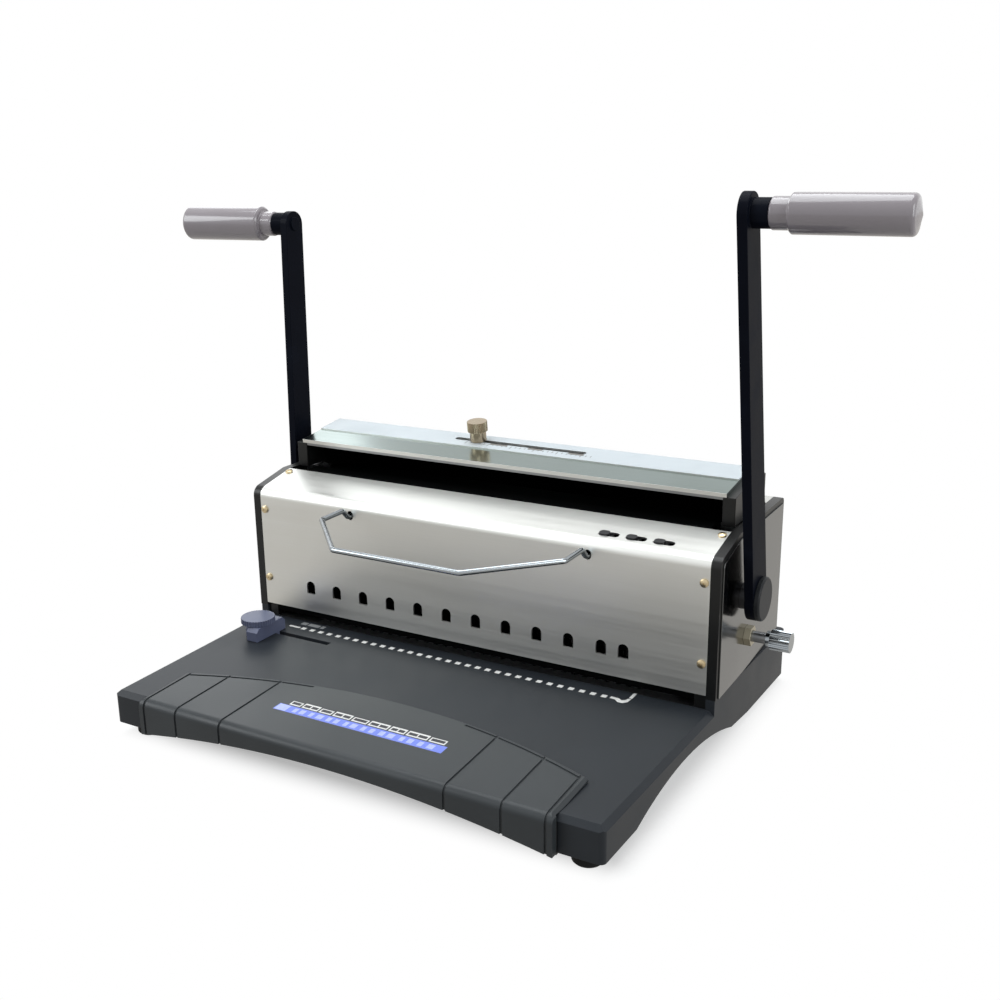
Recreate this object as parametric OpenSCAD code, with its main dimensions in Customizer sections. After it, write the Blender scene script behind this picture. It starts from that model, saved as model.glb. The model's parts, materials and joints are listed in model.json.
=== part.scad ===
// Wire binding machine for A4 sheets: 34 pin punch, wire closer, chip drawer and paper guides.
// Millimetres. +X to the operator's right, +Y to the back, +Z up, the desk at Z = 0.
// Y = 0 runs through the row of printed hole marks on the tray.

/* [Base] */
// Width of the base over its skirts, at the front
base_w = 380; // [374:1:386]
// Splay of each side of the base, front to rear
base_splay = 10; // [5:0.5:15]
// Width of the base over its skirts, at the rear
base_rear_w = base_w + 2 * base_splay;
// Row of marks to the front of the base corners
base_front = 154; // [145:1:165]
// Row of marks to the rear of the base
base_back = 160; // [158:1:175]
// Desk to the top of the tray
tray_h = 34; // [32:0.5:38]
// Thickness of the tray's top
tray_t = 4; // [3:0.5:5]
// Thickness of the skirts
skirt_t = 3.2; // [2.5:0.1:4]
// Bevel along the top edges of the tray
base_bevel = 3.5; // [2:0.5:6]
// Radius of the base's upright corners
corner_r = 4; // [3:0.5:10]
// Desk to the lower edge of the front corners
front_skirt_z = 10; // [8:0.5:13]
// Desk to the lower edge of the rear skirts
rear_skirt_z = 5; // [3:0.5:8]
// Middle of the side arch, in front of the marks
arch_middle = 35; // [25:1:45]
// Half length of the side arch at the front skirt's edge
arch_half = 75; // [60:1:85]
// Height of the side arch above the front skirt's edge
arch_rise = 12; // [8:0.5:14]
// Height of the plinth under the side frames, above the tray
plinth_h = 8; // [6:0.5:10]
// Diameter of a rubber foot
foot_d = 20; // [16:1:22]
// Middle of a foot to the side of the base
foot_in_x = 17; // [16:0.5:19]
// Middle of a foot to the front or rear of the base
foot_in_y = 16; // [15:0.5:26]

/* [Chip drawer] */
// Width of the apron
apron_w = 321; // [300:1:320]
// Apron front, in front of the base corners
apron_out = 6; // [6:0.5:8]
// Rise of the apron above the tray, at its rear
apron_rise = 5; // [4:0.5:7]
// Rise of the apron above the tray, at its front
apron_low_rise = 2; // [1.5:0.5:4]
// Depth of the apron on top, in the middle
apron_depth = 78.5; // [65:0.5:90]
// Depth of the apron on top, at its ends
apron_end_depth = 48; // [40:0.5:60]
// Radius of the apron's front edge
apron_round = 6; // [5:0.5:9]
// Bevel along the rear of the apron's top
apron_bevel = 3; // [1:0.5:4]
// Width of the bevels at the apron's ends
apron_side_bevel = 2.5; // [1:0.5:4]
// Slope of the bevels at the apron's ends, degrees
apron_side_a = 40; // [30:1:50]
// Desk to the apron's lower edge at its ends
apron_low_end = 9.5; // [8:0.5:12]
// Height of the arch in the apron's lower edge
apron_arch = 14.5; // [10:0.5:15]
// Middle to the inner groove of the apron
groove_in = 88; // [70:1:95]
// Middle to the outer groove of the apron
groove_out = 127; // [105:1:135]
// Middle to the groove along the apron's end bevel
groove_end = 156; // [150:0.5:157]
// Middle to where the seam along the apron's rear begins
seam_in = 62; // [40:1:80]
// Width of a groove
groove_w = 1.6; // [1:0.1:2.5]
// Depth of a groove
groove_deep = 1; // [0.5:0.1:1.5]
// Side of the base to the chip bin, at the front
bin_side = 40; // [39:0.5:48]
// Width of the chip bin
bin_w = base_w - 2 * bin_side;
// Length of the chip bin, front to back
bin_len = 150; // [130:1:155]
// Rear of the chip bin, behind the marks
bin_back = 60; // [50:1:66]
// Wall of the chip bin
bin_wall = 2; // [1.5:0.1:3]
// Thickness of the bottom pan
pan_t = 2; // [1.5:0.1:2.5]
// Thickness of the chassis plate
chassis_t = 4; // [3:0.5:5]

/* [Body] */
// Row of marks to the front cover
body_front = 12; // [10:0.5:13]
// Row of marks to the rear cover
body_back = 151; // [148:0.5:155]
// Side of the base to the covers, at the front
cover_side = 1.2; // [1:0.1:4]
// Width of the covers between the side frames
cover_w = base_w - 2 * cover_side;
// Thickness of a side frame
frame_t = 7; // [5:0.5:8]
// Thickness of the outer panels
panel_t = 1; // [0.8:0.1:1.5]
// Border of the frame left showing round a panel
panel_inset = 4; // [2:0.5:6]
// Thickness of the covers
sheet_t = 1.5; // [1:0.1:2]
// Tray to the lower edge of the front cover
cover_gap = 10.5; // [9:0.5:11.5]
// Tray to the bend of the front cover
bend_h = 106.8; // [104:0.2:110]
// Outer radius of that bend
bend_r = 8; // [5:0.5:10]
// Depth of the sloping top of the cover
slope_d = 38.4; // [36:0.2:39]
// Rise of the sloping top of the cover
slope_rise = 8.5; // [7:0.5:10]
// Radius of the rear top edge
rear_r = 4; // [2:0.5:6]
// Depth of the hem at the back of the slope
hem = 6; // [4:0.5:7]
// Width of the flanges that take the cover screws
flange_w = 7.8; // [7:0.1:8.4]
// Depth of those flanges behind the cover
flange_t = 3.5; // [3:0.1:4]
// Width of the side frames' feet, inside the covers
frame_foot_w = 8.8; // [8:0.1:9.5]
// Diameter of a cover screw's head
screw_head_d = 6; // [5:0.1:7]
// Diameter of a cover screw's shank
screw_d = 3; // [2.5:0.1:3.5]
// Bend of the cover to the upper screws
screw_drop = 16.3; // [14:0.1:20]
// Lower edge of the cover to the lower screws
screw_rise = 22.6; // [18:0.1:26]
// Number of windows in the front cover
windows = 12; // [8:1:12]
// Width of a window
window_w = 8; // [6:0.5:8]
// Height of a window
window_h = 10.5; // [9:0.5:12]
// Tray to the middle of the windows
window_z = 30.7; // [29:0.1:33]

/* [Punch] */
// Number of punch pins
pins = 34; // [20:1:34]
// Distance between pins, three to the inch
pin_pitch = 8.467; // [8.2:0.001:8.5]
// Middle of the row of pins, to the left of the middle
pin_row_left = 3; // [0:0.5:5]
// Width of a square pin
pin_w = 4; // [3.5:0.1:4.5]
// Gap round a pin in its plates
pin_fit = 0.15; // [0.1:0.01:0.25]
// Row of marks to the pins
pin_y = 24; // [23.5:0.1:24.5]
// Height of the paper throat
throat = 5.2; // [5:0.1:5.5]
// Thickness of the die plate
die_t = 6; // [5:0.5:7]
// Thickness of the pin guide plate
guide_t = 12; // [10:0.5:12.5]
// Depth of the die plate, front to back
die_d = 30; // [28:0.5:32]
// Depth of the guide plate, front to back
guide_d = 20; // [18:0.5:22]
// Height of the punch beam
beam_h = 22; // [18:1:26]
// Depth of the punch beam
beam_d = 13; // [12:0.5:13.5]
// Free height between guide plate and beam at rest
beam_lift = 12.8; // [12.6:0.1:14]
// Punch shaft, behind the marks
punch_y = 59; // [57:0.5:60]
// Punch shaft above the tray
punch_z = 68; // [66:0.5:70]
// Teeth of a punch pinion
punch_teeth = 14; // [12:1:16]
// Tooth module of the punch pinions
punch_module = 1.25; // [1.2:0.01:1.3]
// Middle to the punch pinions
punch_pinion_x = 110; // [100:1:125]
// Face width of pinions and racks
gear_w = 16; // [12:1:20]
// Diameter of the shafts
shaft_d = 12; // [11:0.5:13]
// Radial clearance of shafts and pins in their bores
fit = 0.05; // [0.03:0.01:0.1]

/* [Wire closer] */
// Closer shaft, behind the marks
closer_y = 85; // [84:0.5:86]
// Closer shaft above the tray
closer_z = 45; // [44:0.5:46]
// Teeth of a closer pinion
closer_teeth = 16; // [15:1:18]
// Tooth module of the closer pinions
closer_module = 1.3; // [1.25:0.01:1.35]
// Middle to the closer pinions
closer_pinion_x = 60; // [50:1:75]
// Front of the head, behind the marks
head_front = 60; // [58:0.5:61]
// Body top to the front edge of the head's plate
head_h = 23.3; // [22:0.1:26]
// Slope of the plate up to the back, degrees
plate_a = 7.3; // [5:0.1:9]
// Depth of the plate along its slope
plate_d = 51.4; // [48:0.2:53]
// Thickness of the plate
plate_t = 3; // [2:0.5:4]
// Depth of the scale sheet on the plate's rear
scale_d = 26; // [22:0.5:28]
// Thickness of the scale sheet
scale_t = 1; // [0.8:0.1:1.5]
// Ends of the plate to the side frames
head_side = 7.3; // [7:0.1:9]
// Width of the plate over the ears
head_w = cover_w - 2 * head_side;
// Depth of the anvil under the plate
anvil_d = 9.5; // [8:0.5:11]
// Thickness of the anvil
anvil_t = 2.5; // [2:0.1:3]
// Depth of the hood behind the plate
hood_d = 17; // [14:0.5:20]
// Drop of the hood towards the back
hood_drop = 4; // [2:0.5:6]
// Thickness of the hood
hood_t = 2; // [1.5:0.1:2.5]
// Seat of the plate on each ear
ear_seat = 3; // [2:0.5:4]
// Thickness of the closing bar
bar_t = 5.5; // [4:0.5:6]
// Depth of the closing bar
bar_d = 14; // [12:0.5:15]
// Thickness of the carriage under the bar
carriage_t = 6; // [5:0.5:7]
// Selector slot to the plate's front edge
selector_in = 39; // [37:0.5:41]
// Left end of the selector slot, from the middle
selector_left = 57; // [52:1:60]
// Length of the selector slot
selector_len = 115; // [105:1:118]
// Width of the selector slot
selector_w = 5; // [4.5:0.1:6]
// Selector stud at rest, to the left of the middle
selector_rest = 36; // [32:0.5:38]
// Diameter of the thumbscrew's knurled head
thumb_d = 16; // [13:0.5:18]
// Height of the thumbscrew's head
thumb_h = 8; // [6:0.5:10]
// Diameter of the thumbscrew's collar
thumb_collar_d = 13; // [11:0.5:15]
// Height of the thumbscrew's collar
thumb_collar_h = 8; // [6:0.5:10]

/* [Levers] */
// Length of a lever, shaft to grip
arm_len = 264.5; // [240:0.5:280]
// Thickness of a lever
arm_t = 6.5; // [5:0.5:8]
// Width of the punch lever at the shaft
punch_low_w = 29; // [24:0.5:30]
// Width of the punch lever at the grip
punch_top_w = 25; // [20:0.5:26]
// Width of the closer lever at the shaft
closer_low_w = 22.5; // [20:0.5:28]
// Width of the closer lever at the grip
closer_top_w = 20.5; // [20:0.5:24]
// Diameter of the lever's boss
boss_d = 31; // [30:0.5:34]
// Side panel to the lever
arm_gap = 5.4; // [4:0.1:7]
// Thickness of the cap on the boss
cap_t = 4; // [3:0.5:6]
// Lean of the punch lever to the front at rest, degrees
punch_lean = 12; // [8:0.1:14]
// Lean of the closer lever to the back at rest, degrees
closer_lean = 1.3; // [0:0.1:4]
// Diameter of the collar that carries a grip
collar_d = 18; // [14:0.5:18.5]
// Length of that collar
collar_len = 11; // [8:0.5:16]
// Diameter of the punch lever's grip
punch_grip_d = 24; // [22:0.5:28]
// Length of the punch lever's grip
punch_grip_len = 84; // [70:1:100]
// Cant of the punch lever's grip to the front, degrees
punch_cant = 0; // [0:1:12]
// Diameter of the closer lever's grip
closer_grip_d = 27.5; // [23:0.5:30]
// Cant of the closer lever's grip to the front, degrees
closer_cant = 8; // [0:1:12]
// Diameter of the grip's neck
grip_neck_d = 19.5; // [17:0.5:21]
// Length of the grip's neck
grip_neck_len = 11; // [8:0.5:14]
// Diameter of the rod in a grip
grip_rod_d = 9; // [7:0.5:11]

/* [Paper guides] */
// Edge guide: width of the fence
stop_w = 10.5; // [9:0.5:12]
// Edge guide: length of the fence
stop_len = 34; // [30:1:36]
// Edge guide: height of the fence
stop_h = 10.4; // [9:0.1:12]
// Edge guide: face for the sheets, to the left of the middle
stop_face = 156; // [153:0.5:158]
// Edge guide: front of the fence, in front of the marks
stop_front = 40.5; // [38:0.5:43]
// Edge guide: slot in the tray, in front of the marks
stop_slot_y = 15.5; // [14.5:0.5:18]
// Edge guide: right end of the slot, to the left of the middle
stop_slot_end = 106; // [104:1:107]
// Edge guide: width of the slot
stop_slot_w = 5; // [4:0.5:6]
// Edge guide: knob in front of the marks
stop_knob_y = 26; // [25:0.5:27]
// Edge guide: diameter of the boss under the knob
stop_boss_d = 20; // [18:0.5:20.5]
// Edge guide: diameter of the knob
stop_knob_d = 26.5; // [24:0.5:28]
// Edge guide: height of the knob
stop_knob_h = 4.4; // [4:0.1:7]
// Margin stop: pins to the front face
gauge_back = 6.5; // [6:0.1:7]
// Margin stop: depth of the bar
gauge_d = 11; // [9:0.5:12]
// Margin stop: spindle behind the marks
spindle_y = 70; // [69:0.5:71]
// Margin stop: spindle above the tray
spindle_z = 35; // [34:0.5:36]
// Margin stop: diameter of the spindle
spindle_d = 8; // [7:0.5:8.5]
// Margin stop: throw of the crank pin
crank_throw = 8; // [7:0.5:9]
// Margin stop: diameter of the crank pin
crank_pin_d = 5; // [4:0.5:5.5]
// Margin stop: side panel to the knob
knob_out = 15.2; // [13:0.2:18]
// Margin stop: diameter of the knob
knob_d = 14.5; // [13:0.5:17]
// Margin stop: length of the knob
knob_len = 17; // [14:0.5:20]

/* [Wire hanger] */
// Half distance between the hanger's holes
hanger_half = 100.5; // [95:0.5:105]
// Diameter of the hanger's rod
rod_d = 4; // [3.5:0.1:4.4]
// Tray to the hanger's pivot
hanger_z = 96.5; // [95:0.1:97]
// Pivot of the hanger behind the cover's face
hanger_pivot = 5; // [4.8:0.1:6]
// Rise of the rod in front of its holes
hanger_rise = 6.5; // [4:0.5:7]
// Cover to the ends of the straight arms
hanger_arm = 34.7; // [30:0.1:38]
// Cover to the front rod
hanger_reach = 87.5; // [75:0.5:92]
// Half length of the front rod
hanger_front_half = 50.8; // [40:0.2:60]
// Bend radius of the rod
hanger_bend = 4.5; // [4:0.1:5]

/* [Pin releases] */
// Middle of the first release slot
release_x = 110.6; // [106:0.2:114]
// Distance between release slots
release_step = 20.3; // [20:0.1:22]
// Row of marks to the release slots
release_y = 24.5; // [23:0.5:26]
// Length of a release slot
release_len = 15.5; // [15:0.1:16]
// Width of a release slot
release_w = 6; // [5:0.1:7]
// Length of a release tab
release_tab = 8; // [7:0.1:8.4]

/* [Hidden] */
$fn = 48;

// Clearance between pieces that slide past each other
slip = 0.3;
// Overshoot of cutting shapes
over = 1;

base_half = base_w / 2;
base_rear_half = base_rear_w / 2;
taper = atan2(base_rear_half - base_half, base_front + base_back);
cover_half = cover_w / 2;
frame_out = cover_half + frame_t;
panel_out = frame_out + panel_t;
plinth_z = tray_h + plinth_h;
tray_low = tray_h - tray_t;

// Outline of the body, seen from the side
bend_z = tray_h + bend_h;
slope_a = atan2(slope_rise, slope_d);
slope_k = (1 - sin(slope_a)) / cos(slope_a);
slope_y = body_front + slope_d;
body_top = bend_z + slope_rise;
cover_low = tray_h + cover_gap;

// Levels of the punch
die_front = body_front + sheet_t + 0.5;
die_low = tray_h - die_t;
chassis_low = die_low - chassis_t;
guide_low = tray_h + throat;
guide_top = guide_low + guide_t;
beam_low = guide_top + beam_lift;
beam_top = beam_low + beam_h;
beam_front = pin_y - beam_d / 2;
beam_back = pin_y + beam_d / 2;
pin_x0 = -pin_row_left - (pins - 1) * pin_pitch / 2;
frame_foot_x = cover_half - frame_foot_w;
frame_foot_z = guide_low + throat;

// Shafts
punch_h = tray_h + punch_z;
closer_h = tray_h + closer_z;
shaft_bore = shaft_d + 2 * fit;
bush_wall = 3;
bush_lip = 3;
bush_d = shaft_d + 2 * bush_wall;
bush_flange_d = bush_d + 2 * bush_lip;
screw_hole = 12;
bush_flange_t = 2.5;
arm_in = panel_out + arm_gap;
arm_out = arm_in + arm_t;
collar_end = arm_t / 2 + collar_len;
closer_grip_len = (collar_end + punch_grip_len) / cos(closer_cant) - collar_end;
rod_in = arm_t / 4;
rod_short = 14;

// Guide channels of the rams, with the tongues that run in them
channel_wall = 2.7;
channel_d = 14.8;
channel_x = cover_half - channel_d;
tongue_l = 5.7;
tongue_end = channel_x + tongue_l;
tongue_t = 8;
channel_over = 14;
punch_channel_top = beam_top + channel_over;
carriage_z = body_top - bar_t - carriage_t;
closer_tongue_y = closer_y - 5;
closer_channel_low = closer_h + bush_flange_d / 2 + 4;
closer_channel_top = body_top - 2;
closer_tongue_low = closer_channel_low + 5;
tongue_drop = 4;

// Gears: stub teeth with 20 degree flanks
pressure_a = 20;
tooth_addendum = 0.8;
tooth_dedendum = 1.05;
backlash = 0.3;
punch_pitch_r = punch_teeth * punch_module / 2;
closer_pitch_r = closer_teeth * closer_module / 2;
punch_rack_y = punch_y - punch_pitch_r;
closer_rack_y = closer_y + closer_pitch_r;
rack_back_t = 9;

// Head of the closer; height of what carries the plate at y, less a film of paint
head_top = body_top + head_h;
head_half = head_w / 2;
ear_in = head_half - ear_seat;
plate_back = head_front + plate_d * cos(plate_a);
hood_back = plate_back + hood_d;
stud_d = selector_w - 2 * slip;
paint_t = 0.03;
function plate_under(y) = head_top - plate_t / cos(plate_a) - paint_t + (y - head_front) * tan(plate_a);

// Chip drawer
apron_front = -base_front - apron_out;
apron_top = tray_h + apron_rise;
apron_low = tray_h + apron_low_rise;
apron_slope = (apron_rise - apron_low_rise) / (apron_depth - apron_round);
apron_half = apron_w / 2;
apron_sag = apron_depth - apron_end_depth;
apron_arc_r = (apron_half * apron_half + apron_sag * apron_sag) / (2 * apron_sag);
apron_low_r = (apron_half * apron_half + apron_arch * apron_arch) / (2 * apron_arch);
tongue_top = tray_low - slip;
drawer_tongue_t = 4.5;
pan_top = rear_skirt_z;
bin_low = pan_top + slip;
bin_top = chassis_low - slip;
bin_front = bin_back - bin_len;
rail_top = chassis_low;
rail_t = 6;
rail_in = bin_w / 2 + 10;

// Edge guide and margin stop
stop_low = tray_h + slip;
stop_top = stop_low + stop_h;
stop_x = -stop_face - stop_w;
stop_key = stop_w - 2 * slip;
stop_stud_d = 6;
gauge_y = pin_y + gauge_back;
gauge_low = tray_h + slip;
gauge_top = guide_low - slip;
gauge_end = 38.8;
gauge_half = cover_half - gauge_end;
spindle_h = tray_h + spindle_z;
crank_out = 14.5;
crank_x = gauge_half + crank_out;
crank_t = 5.5;
prong_w = 8;
prong_t = 4;
prong_out = 4;
prong_x = gauge_half + prong_out;
knob_x = panel_out + knob_out;

// Hanger
pivot_y = body_front + hanger_pivot;
pivot_z = tray_h + hanger_z;
hanger_pin = 12;
bracket_w = 6;

module slab_x(x0, x1) {
    translate([x0, 0, 0]) rotate([90, 0, 90]) linear_extrude(x1 - x0) children();
}

module block(low, high) {
    translate(low) cube(high - low);
}

// Round bar along X between two planes
module bar_x(x0, x1, y, z, d) {
    translate([x0, y, z]) rotate([0, 90, 0]) cylinder(h = x1 - x0, d = d);
}

module both_sides() {
    children();
    mirror([1, 0, 0]) children();
}

// Oblong hole along X through +-h of the plane, length over the round ends
module oblong(len, w, h) {
    translate([-(len - w) / 2, -w / 2, -h]) cube([len - w, w, 2 * h]);
    for (s = [-1, 1]) translate([s * (len - w) / 2, 0, -h]) cylinder(h = 2 * h, d = w);
}

// What a round edge takes off a sharp corner: a and b are where the round of radius r about c begins
module corner_waste(a, corner, b, c, r) {
    difference() {
        polygon([a, corner + (corner - c), b]);
        translate(c) circle(r);
    }
}

// Side outline of the body, drawn in by inset all round but the bottom
module body_profile(inset, low) {
    front = body_front + inset;
    back = body_back - inset;
    top = body_top - inset;
    bend_in = bend_r - inset;
    bend_c = [body_front + bend_r, bend_z - slope_k * bend_r];
    bend_p = [front, bend_z - slope_k * inset];
    edge_r = max(rear_r - inset, 0);
    rear_c = [back - edge_r, top - edge_r];
    difference() {
        polygon([[front, low], bend_p, [slope_y + inset * tan(slope_a / 2), top], [back, top], [back, low]]);
        corner_waste([front, bend_c[1]], bend_p, bend_c + bend_in * [-sin(slope_a), cos(slope_a)],
            bend_c, bend_in);
        if (edge_r > 0)
            corner_waste(rear_c + [0, edge_r], [back, top], rear_c + [edge_r, 0], rear_c, edge_r);
    }
}

// Ring of points with sharp crests, for a knurled or fluted edge
function knurl(d, n, deep) =
    [for (i = [0 : 2 * n - 1]) (d / 2 - (i % 2) * deep) * [cos(180 * i / n), sin(180 * i / n)]];

// Half angle of a gear tooth at radius r, in degrees
function involute(a) = tan(a) * 180 / PI - a;
function tooth_half(r, teeth, m, base) =
    90 / teeth - backlash / (2 * teeth * m) * 180 / PI + involute(pressure_a)
    - involute(acos(min(1, base / r)));

function flank_radii(teeth, m) =
    let (pitch = teeth * m / 2, base = pitch * cos(pressure_a), tip = pitch + tooth_addendum * m)
    [pitch - tooth_dedendum * m, for (k = [0 : 4]) base + (tip - base) * k / 4];

function pinion_points(teeth, m) =
    let (base = teeth * m / 2 * cos(pressure_a), radii = flank_radii(teeth, m), n = len(radii))
    [for (i = [0 : teeth - 1], j = [0 : 2 * n - 1])
        let (r = radii[j < n ? j : 2 * n - 1 - j],
            a = 360 * (i + 0.5) / teeth + (j < n ? -1 : 1) * tooth_half(max(r, base), teeth, m, base))
        r * [cos(a), sin(a)]];

// Rack outline: teeth point to -x, the pitch line is x = 0, a tooth is centred on y = 0
function rack_points(m, below, above, back) =
    let (pitch = PI * m, half = pitch / 4 - backlash / 4, rise = tooth_addendum * m,
        root = tooth_dedendum * m, slope = tan(pressure_a))
    concat([[back, -(below + 0.5) * pitch], [root, -(below + 0.5) * pitch]],
        [for (i = [-below : above], c = [[root, -half - root * slope], [-rise, -half + rise * slope],
            [-rise, half - rise * slope], [root, half + root * slope]]) [c[0], c[1] + i * pitch]],
        [[root, (above + 0.5) * pitch], [back, (above + 0.5) * pitch]]);

// Base and chip drawer

// Plan of the base, which widens to the back, drawn in by inset all round
function base_x(y) = base_half + (y + base_front) * tan(taper);

module base_plan(inset) {
    low = -base_front + inset;
    high = base_back - inset;
    in = inset / cos(taper);
    polygon([[in - base_x(low), low], [base_x(low) - in, low], [base_x(high) - in, high], [in - base_x(high), high]]);
}

// Plan of what rounds a right corner off: end is 1 at the rear and -1 at the front
module base_corner(y, end) {
    x = base_x(y);
    c = [x - end * corner_r * tan(taper) - corner_r / cos(taper), y - end * corner_r];
    corner_waste([c[0], y], [x, y], c + corner_r * [cos(taper), -sin(taper)], c, corner_r);
}

// What the bevel takes off the tray's right edge, up to the plinth
module tray_bevel() {
    long = base_front + base_back;
    intersection() {
        translate([base_half, -base_front, tray_h]) rotate([0, 0, -taper]) translate([0, long, 0])
            rotate([90, 0, 0]) linear_extrude(long + over)
                polygon([[-base_bevel - over, over], [over, -base_bevel - over], [over, over]]);
        block([0, -base_front - 2 * over, 0], [base_rear_half, body_front, plinth_z]);
    }
}

module base_tray() {
    foot_y = [-base_front + foot_in_y, base_back - foot_in_y];
    arch_r = (arch_half * arch_half + arch_rise * arch_rise) / (2 * arch_rise);
    well_back = body_back + slip;
    half = base_rear_half + over;
    color("#26282b") {
        difference() {
            intersection() {
                linear_extrude(plinth_z) base_plan(0);
                slab_x(-half, half)
                    polygon([[-base_front, front_skirt_z], [-base_front, tray_h - base_bevel],
                        [-base_front + base_bevel, tray_h], [body_front, tray_h], [body_front, plinth_z],
                        [base_back, plinth_z], [base_back, rear_skirt_z], [base_back / 2, rear_skirt_z],
                        [body_front, front_skirt_z]]);
            }
            both_sides() {
                linear_extrude(plinth_z + over) {
                    base_corner(-base_front, -1);
                    base_corner(base_back, 1);
                }
                tray_bevel();
            }
            translate([0, 0, -over]) linear_extrude(tray_low + over) base_plan(skirt_t);
            block([-cover_half, die_front - slip, 0], [cover_half, well_back, plinth_z + over]);
            block([-cover_half, body_front - over, tray_h], [cover_half, well_back, plinth_z + over]);
            block([-apron_half - slip, -base_front - over, -over],
                [apron_half + slip, -base_front + skirt_t + over, tray_low]);
            translate([-half, -arch_middle, front_skirt_z + arch_rise - arch_r])
                rotate([0, 90, 0]) cylinder(h = 2 * half, r = arch_r, $fn = 96);
            block([stop_x, -stop_slot_y - stop_slot_w / 2, tray_low - over],
                [-stop_slot_end, -stop_slot_y + stop_slot_w / 2, tray_h + over]);
        }
        intersection() {
            translate([0, 0, rail_top - rail_t]) linear_extrude(rail_t) base_plan(skirt_t / 2);
            both_sides() block([rail_in, die_front + over, 0], [half, body_back - over, tray_h]);
        }
        both_sides() {
            translate([base_half - foot_in_x, foot_y[0], front_skirt_z])
                cylinder(h = tray_low - front_skirt_z + over, d = foot_d - 2);
            translate([base_half - foot_in_x, foot_y[1], rear_skirt_z])
                cylinder(h = rail_top - rail_t - rear_skirt_z + over, d = foot_d - 2);
        }
    }
}

module bottom_pan() {
    color("#3a3d40") {
        block([-rail_in - pan_t, bin_front, pan_top - pan_t], [rail_in + pan_t, body_back - over, pan_top]);
        both_sides()
            block([rail_in, die_front + over, pan_top], [rail_in + pan_t, body_back - over, rail_top - rail_t]);
    }
}

module rubber_foot(h) {
    bevel = 1.5;
    hole = 3.5;
    rotate_extrude() polygon([[hole, h], [hole, h / 2], [0, h / 2], [0, h / 2 - 1], [hole + 1, 0],
        [foot_d / 2 - bevel, 0], [foot_d / 2, bevel], [foot_d / 2, h]]);
}

module rubber_feet() {
    color("#141414") both_sides() {
        translate([base_half - foot_in_x, -base_front + foot_in_y, 0]) rubber_foot(front_skirt_z);
        translate([base_half - foot_in_x, base_back - foot_in_y, 0]) rubber_foot(rear_skirt_z);
    }
}

// Section of the apron, drawn in by a depth: upright front, round nose and a top that rises to the rear
module apron_section(inset) {
    nose = apron_front + apron_round;
    union() {
        translate([apron_front + inset, 0]) square([apron_depth, apron_low - apron_round]);
        polygon([[nose, 0], [nose, apron_low - inset], [nose + apron_depth,
            apron_low - inset + apron_depth * apron_slope], [nose + apron_depth, 0]]);
        translate([nose, apron_low - apron_round]) circle(apron_round - inset);
    }
}

// Skin of the apron between two places, as deep as a groove
module apron_skin(x1, x2) {
    slab_x(x1, x2) difference() {
        translate([apron_front - over, -over]) square([apron_depth + over, apron_top + 3 * over]);
        apron_section(groove_deep);
        translate([apron_front + groove_deep, -2 * over]) square([apron_depth, 3 * over]);
    }
}

// Groove just inside the rear edge of the apron, on the right
module apron_seam(deep) {
    r = apron_arc_r - apron_bevel - groove_w / 2;
    intersection() {
        translate([0, deep - apron_arc_r, tray_h]) difference() {
            cylinder(h = apron_rise + over, r = r, $fn = 180);
            translate([0, 0, -over]) cylinder(h = apron_rise + 3 * over, r = r - groove_w, $fn = 180);
        }
        apron_skin(seam_in, groove_end);
    }
}

module drawer_front() {
    in = apron_front + apron_out - slip;
    deep = apron_front + apron_depth;
    color("#2b2d30") {
        difference() {
            intersection() {
                slab_x(-apron_half, apron_half) difference() {
                    apron_section(0);
                    translate([in, -over]) square([2 * apron_depth, tray_h + slip + over]);
                }
                translate([0, deep - apron_arc_r, 0]) rotate_extrude($fn = 180)
                    polygon([[0, 0], [apron_arc_r, 0], [apron_arc_r, apron_top - apron_bevel],
                        [apron_arc_r - apron_bevel, apron_top], [0, apron_top]]);
            }
            translate([0, apron_front - over, apron_low_end + apron_arch - apron_low_r])
                rotate([-90, 0, 0]) cylinder(h = apron_out + 2 * over, r = apron_low_r, $fn = 180);
            both_sides() {
                translate([apron_half - apron_side_bevel, apron_front + apron_round, apron_low])
                    rotate([atan(apron_slope), apron_side_a, 0])
                    block([-apron_rise, -apron_depth, 0], [2 * apron_rise, apron_depth, apron_rise]);
                for (x = [groove_in, groove_out, groove_end])
                    apron_skin(x - groove_w / 2, x + groove_w / 2);
                apron_seam(deep);
            }
        }
        block([-bin_w / 2, in, tongue_top - drawer_tongue_t], [bin_w / 2, bin_front, tongue_top]);
    }
}

module chip_bin() {
    color("#303236") difference() {
        union() {
            block([-bin_w / 2, bin_front, bin_low], [bin_w / 2, bin_back, bin_top]);
            block([-bin_w / 2, bin_front, bin_low], [bin_w / 2, bin_front + bin_wall, tongue_top]);
        }
        block([-bin_w / 2 + bin_wall, bin_front + bin_wall, bin_low + bin_wall],
            [bin_w / 2 - bin_wall, bin_back - bin_wall, bin_top + over]);
    }
}

// Body

module chassis_plate() {
    chip_half = pins * pin_pitch / 2 + pin_row_left;
    color("#5a5e62") difference() {
        block([-cover_half, die_front, chassis_low], [cover_half, body_back - sheet_t, die_low]);
        block([-chip_half, pin_y - pin_w, chassis_low - over], [chip_half, pin_y + pin_w, die_low + over]);
    }
}

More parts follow.
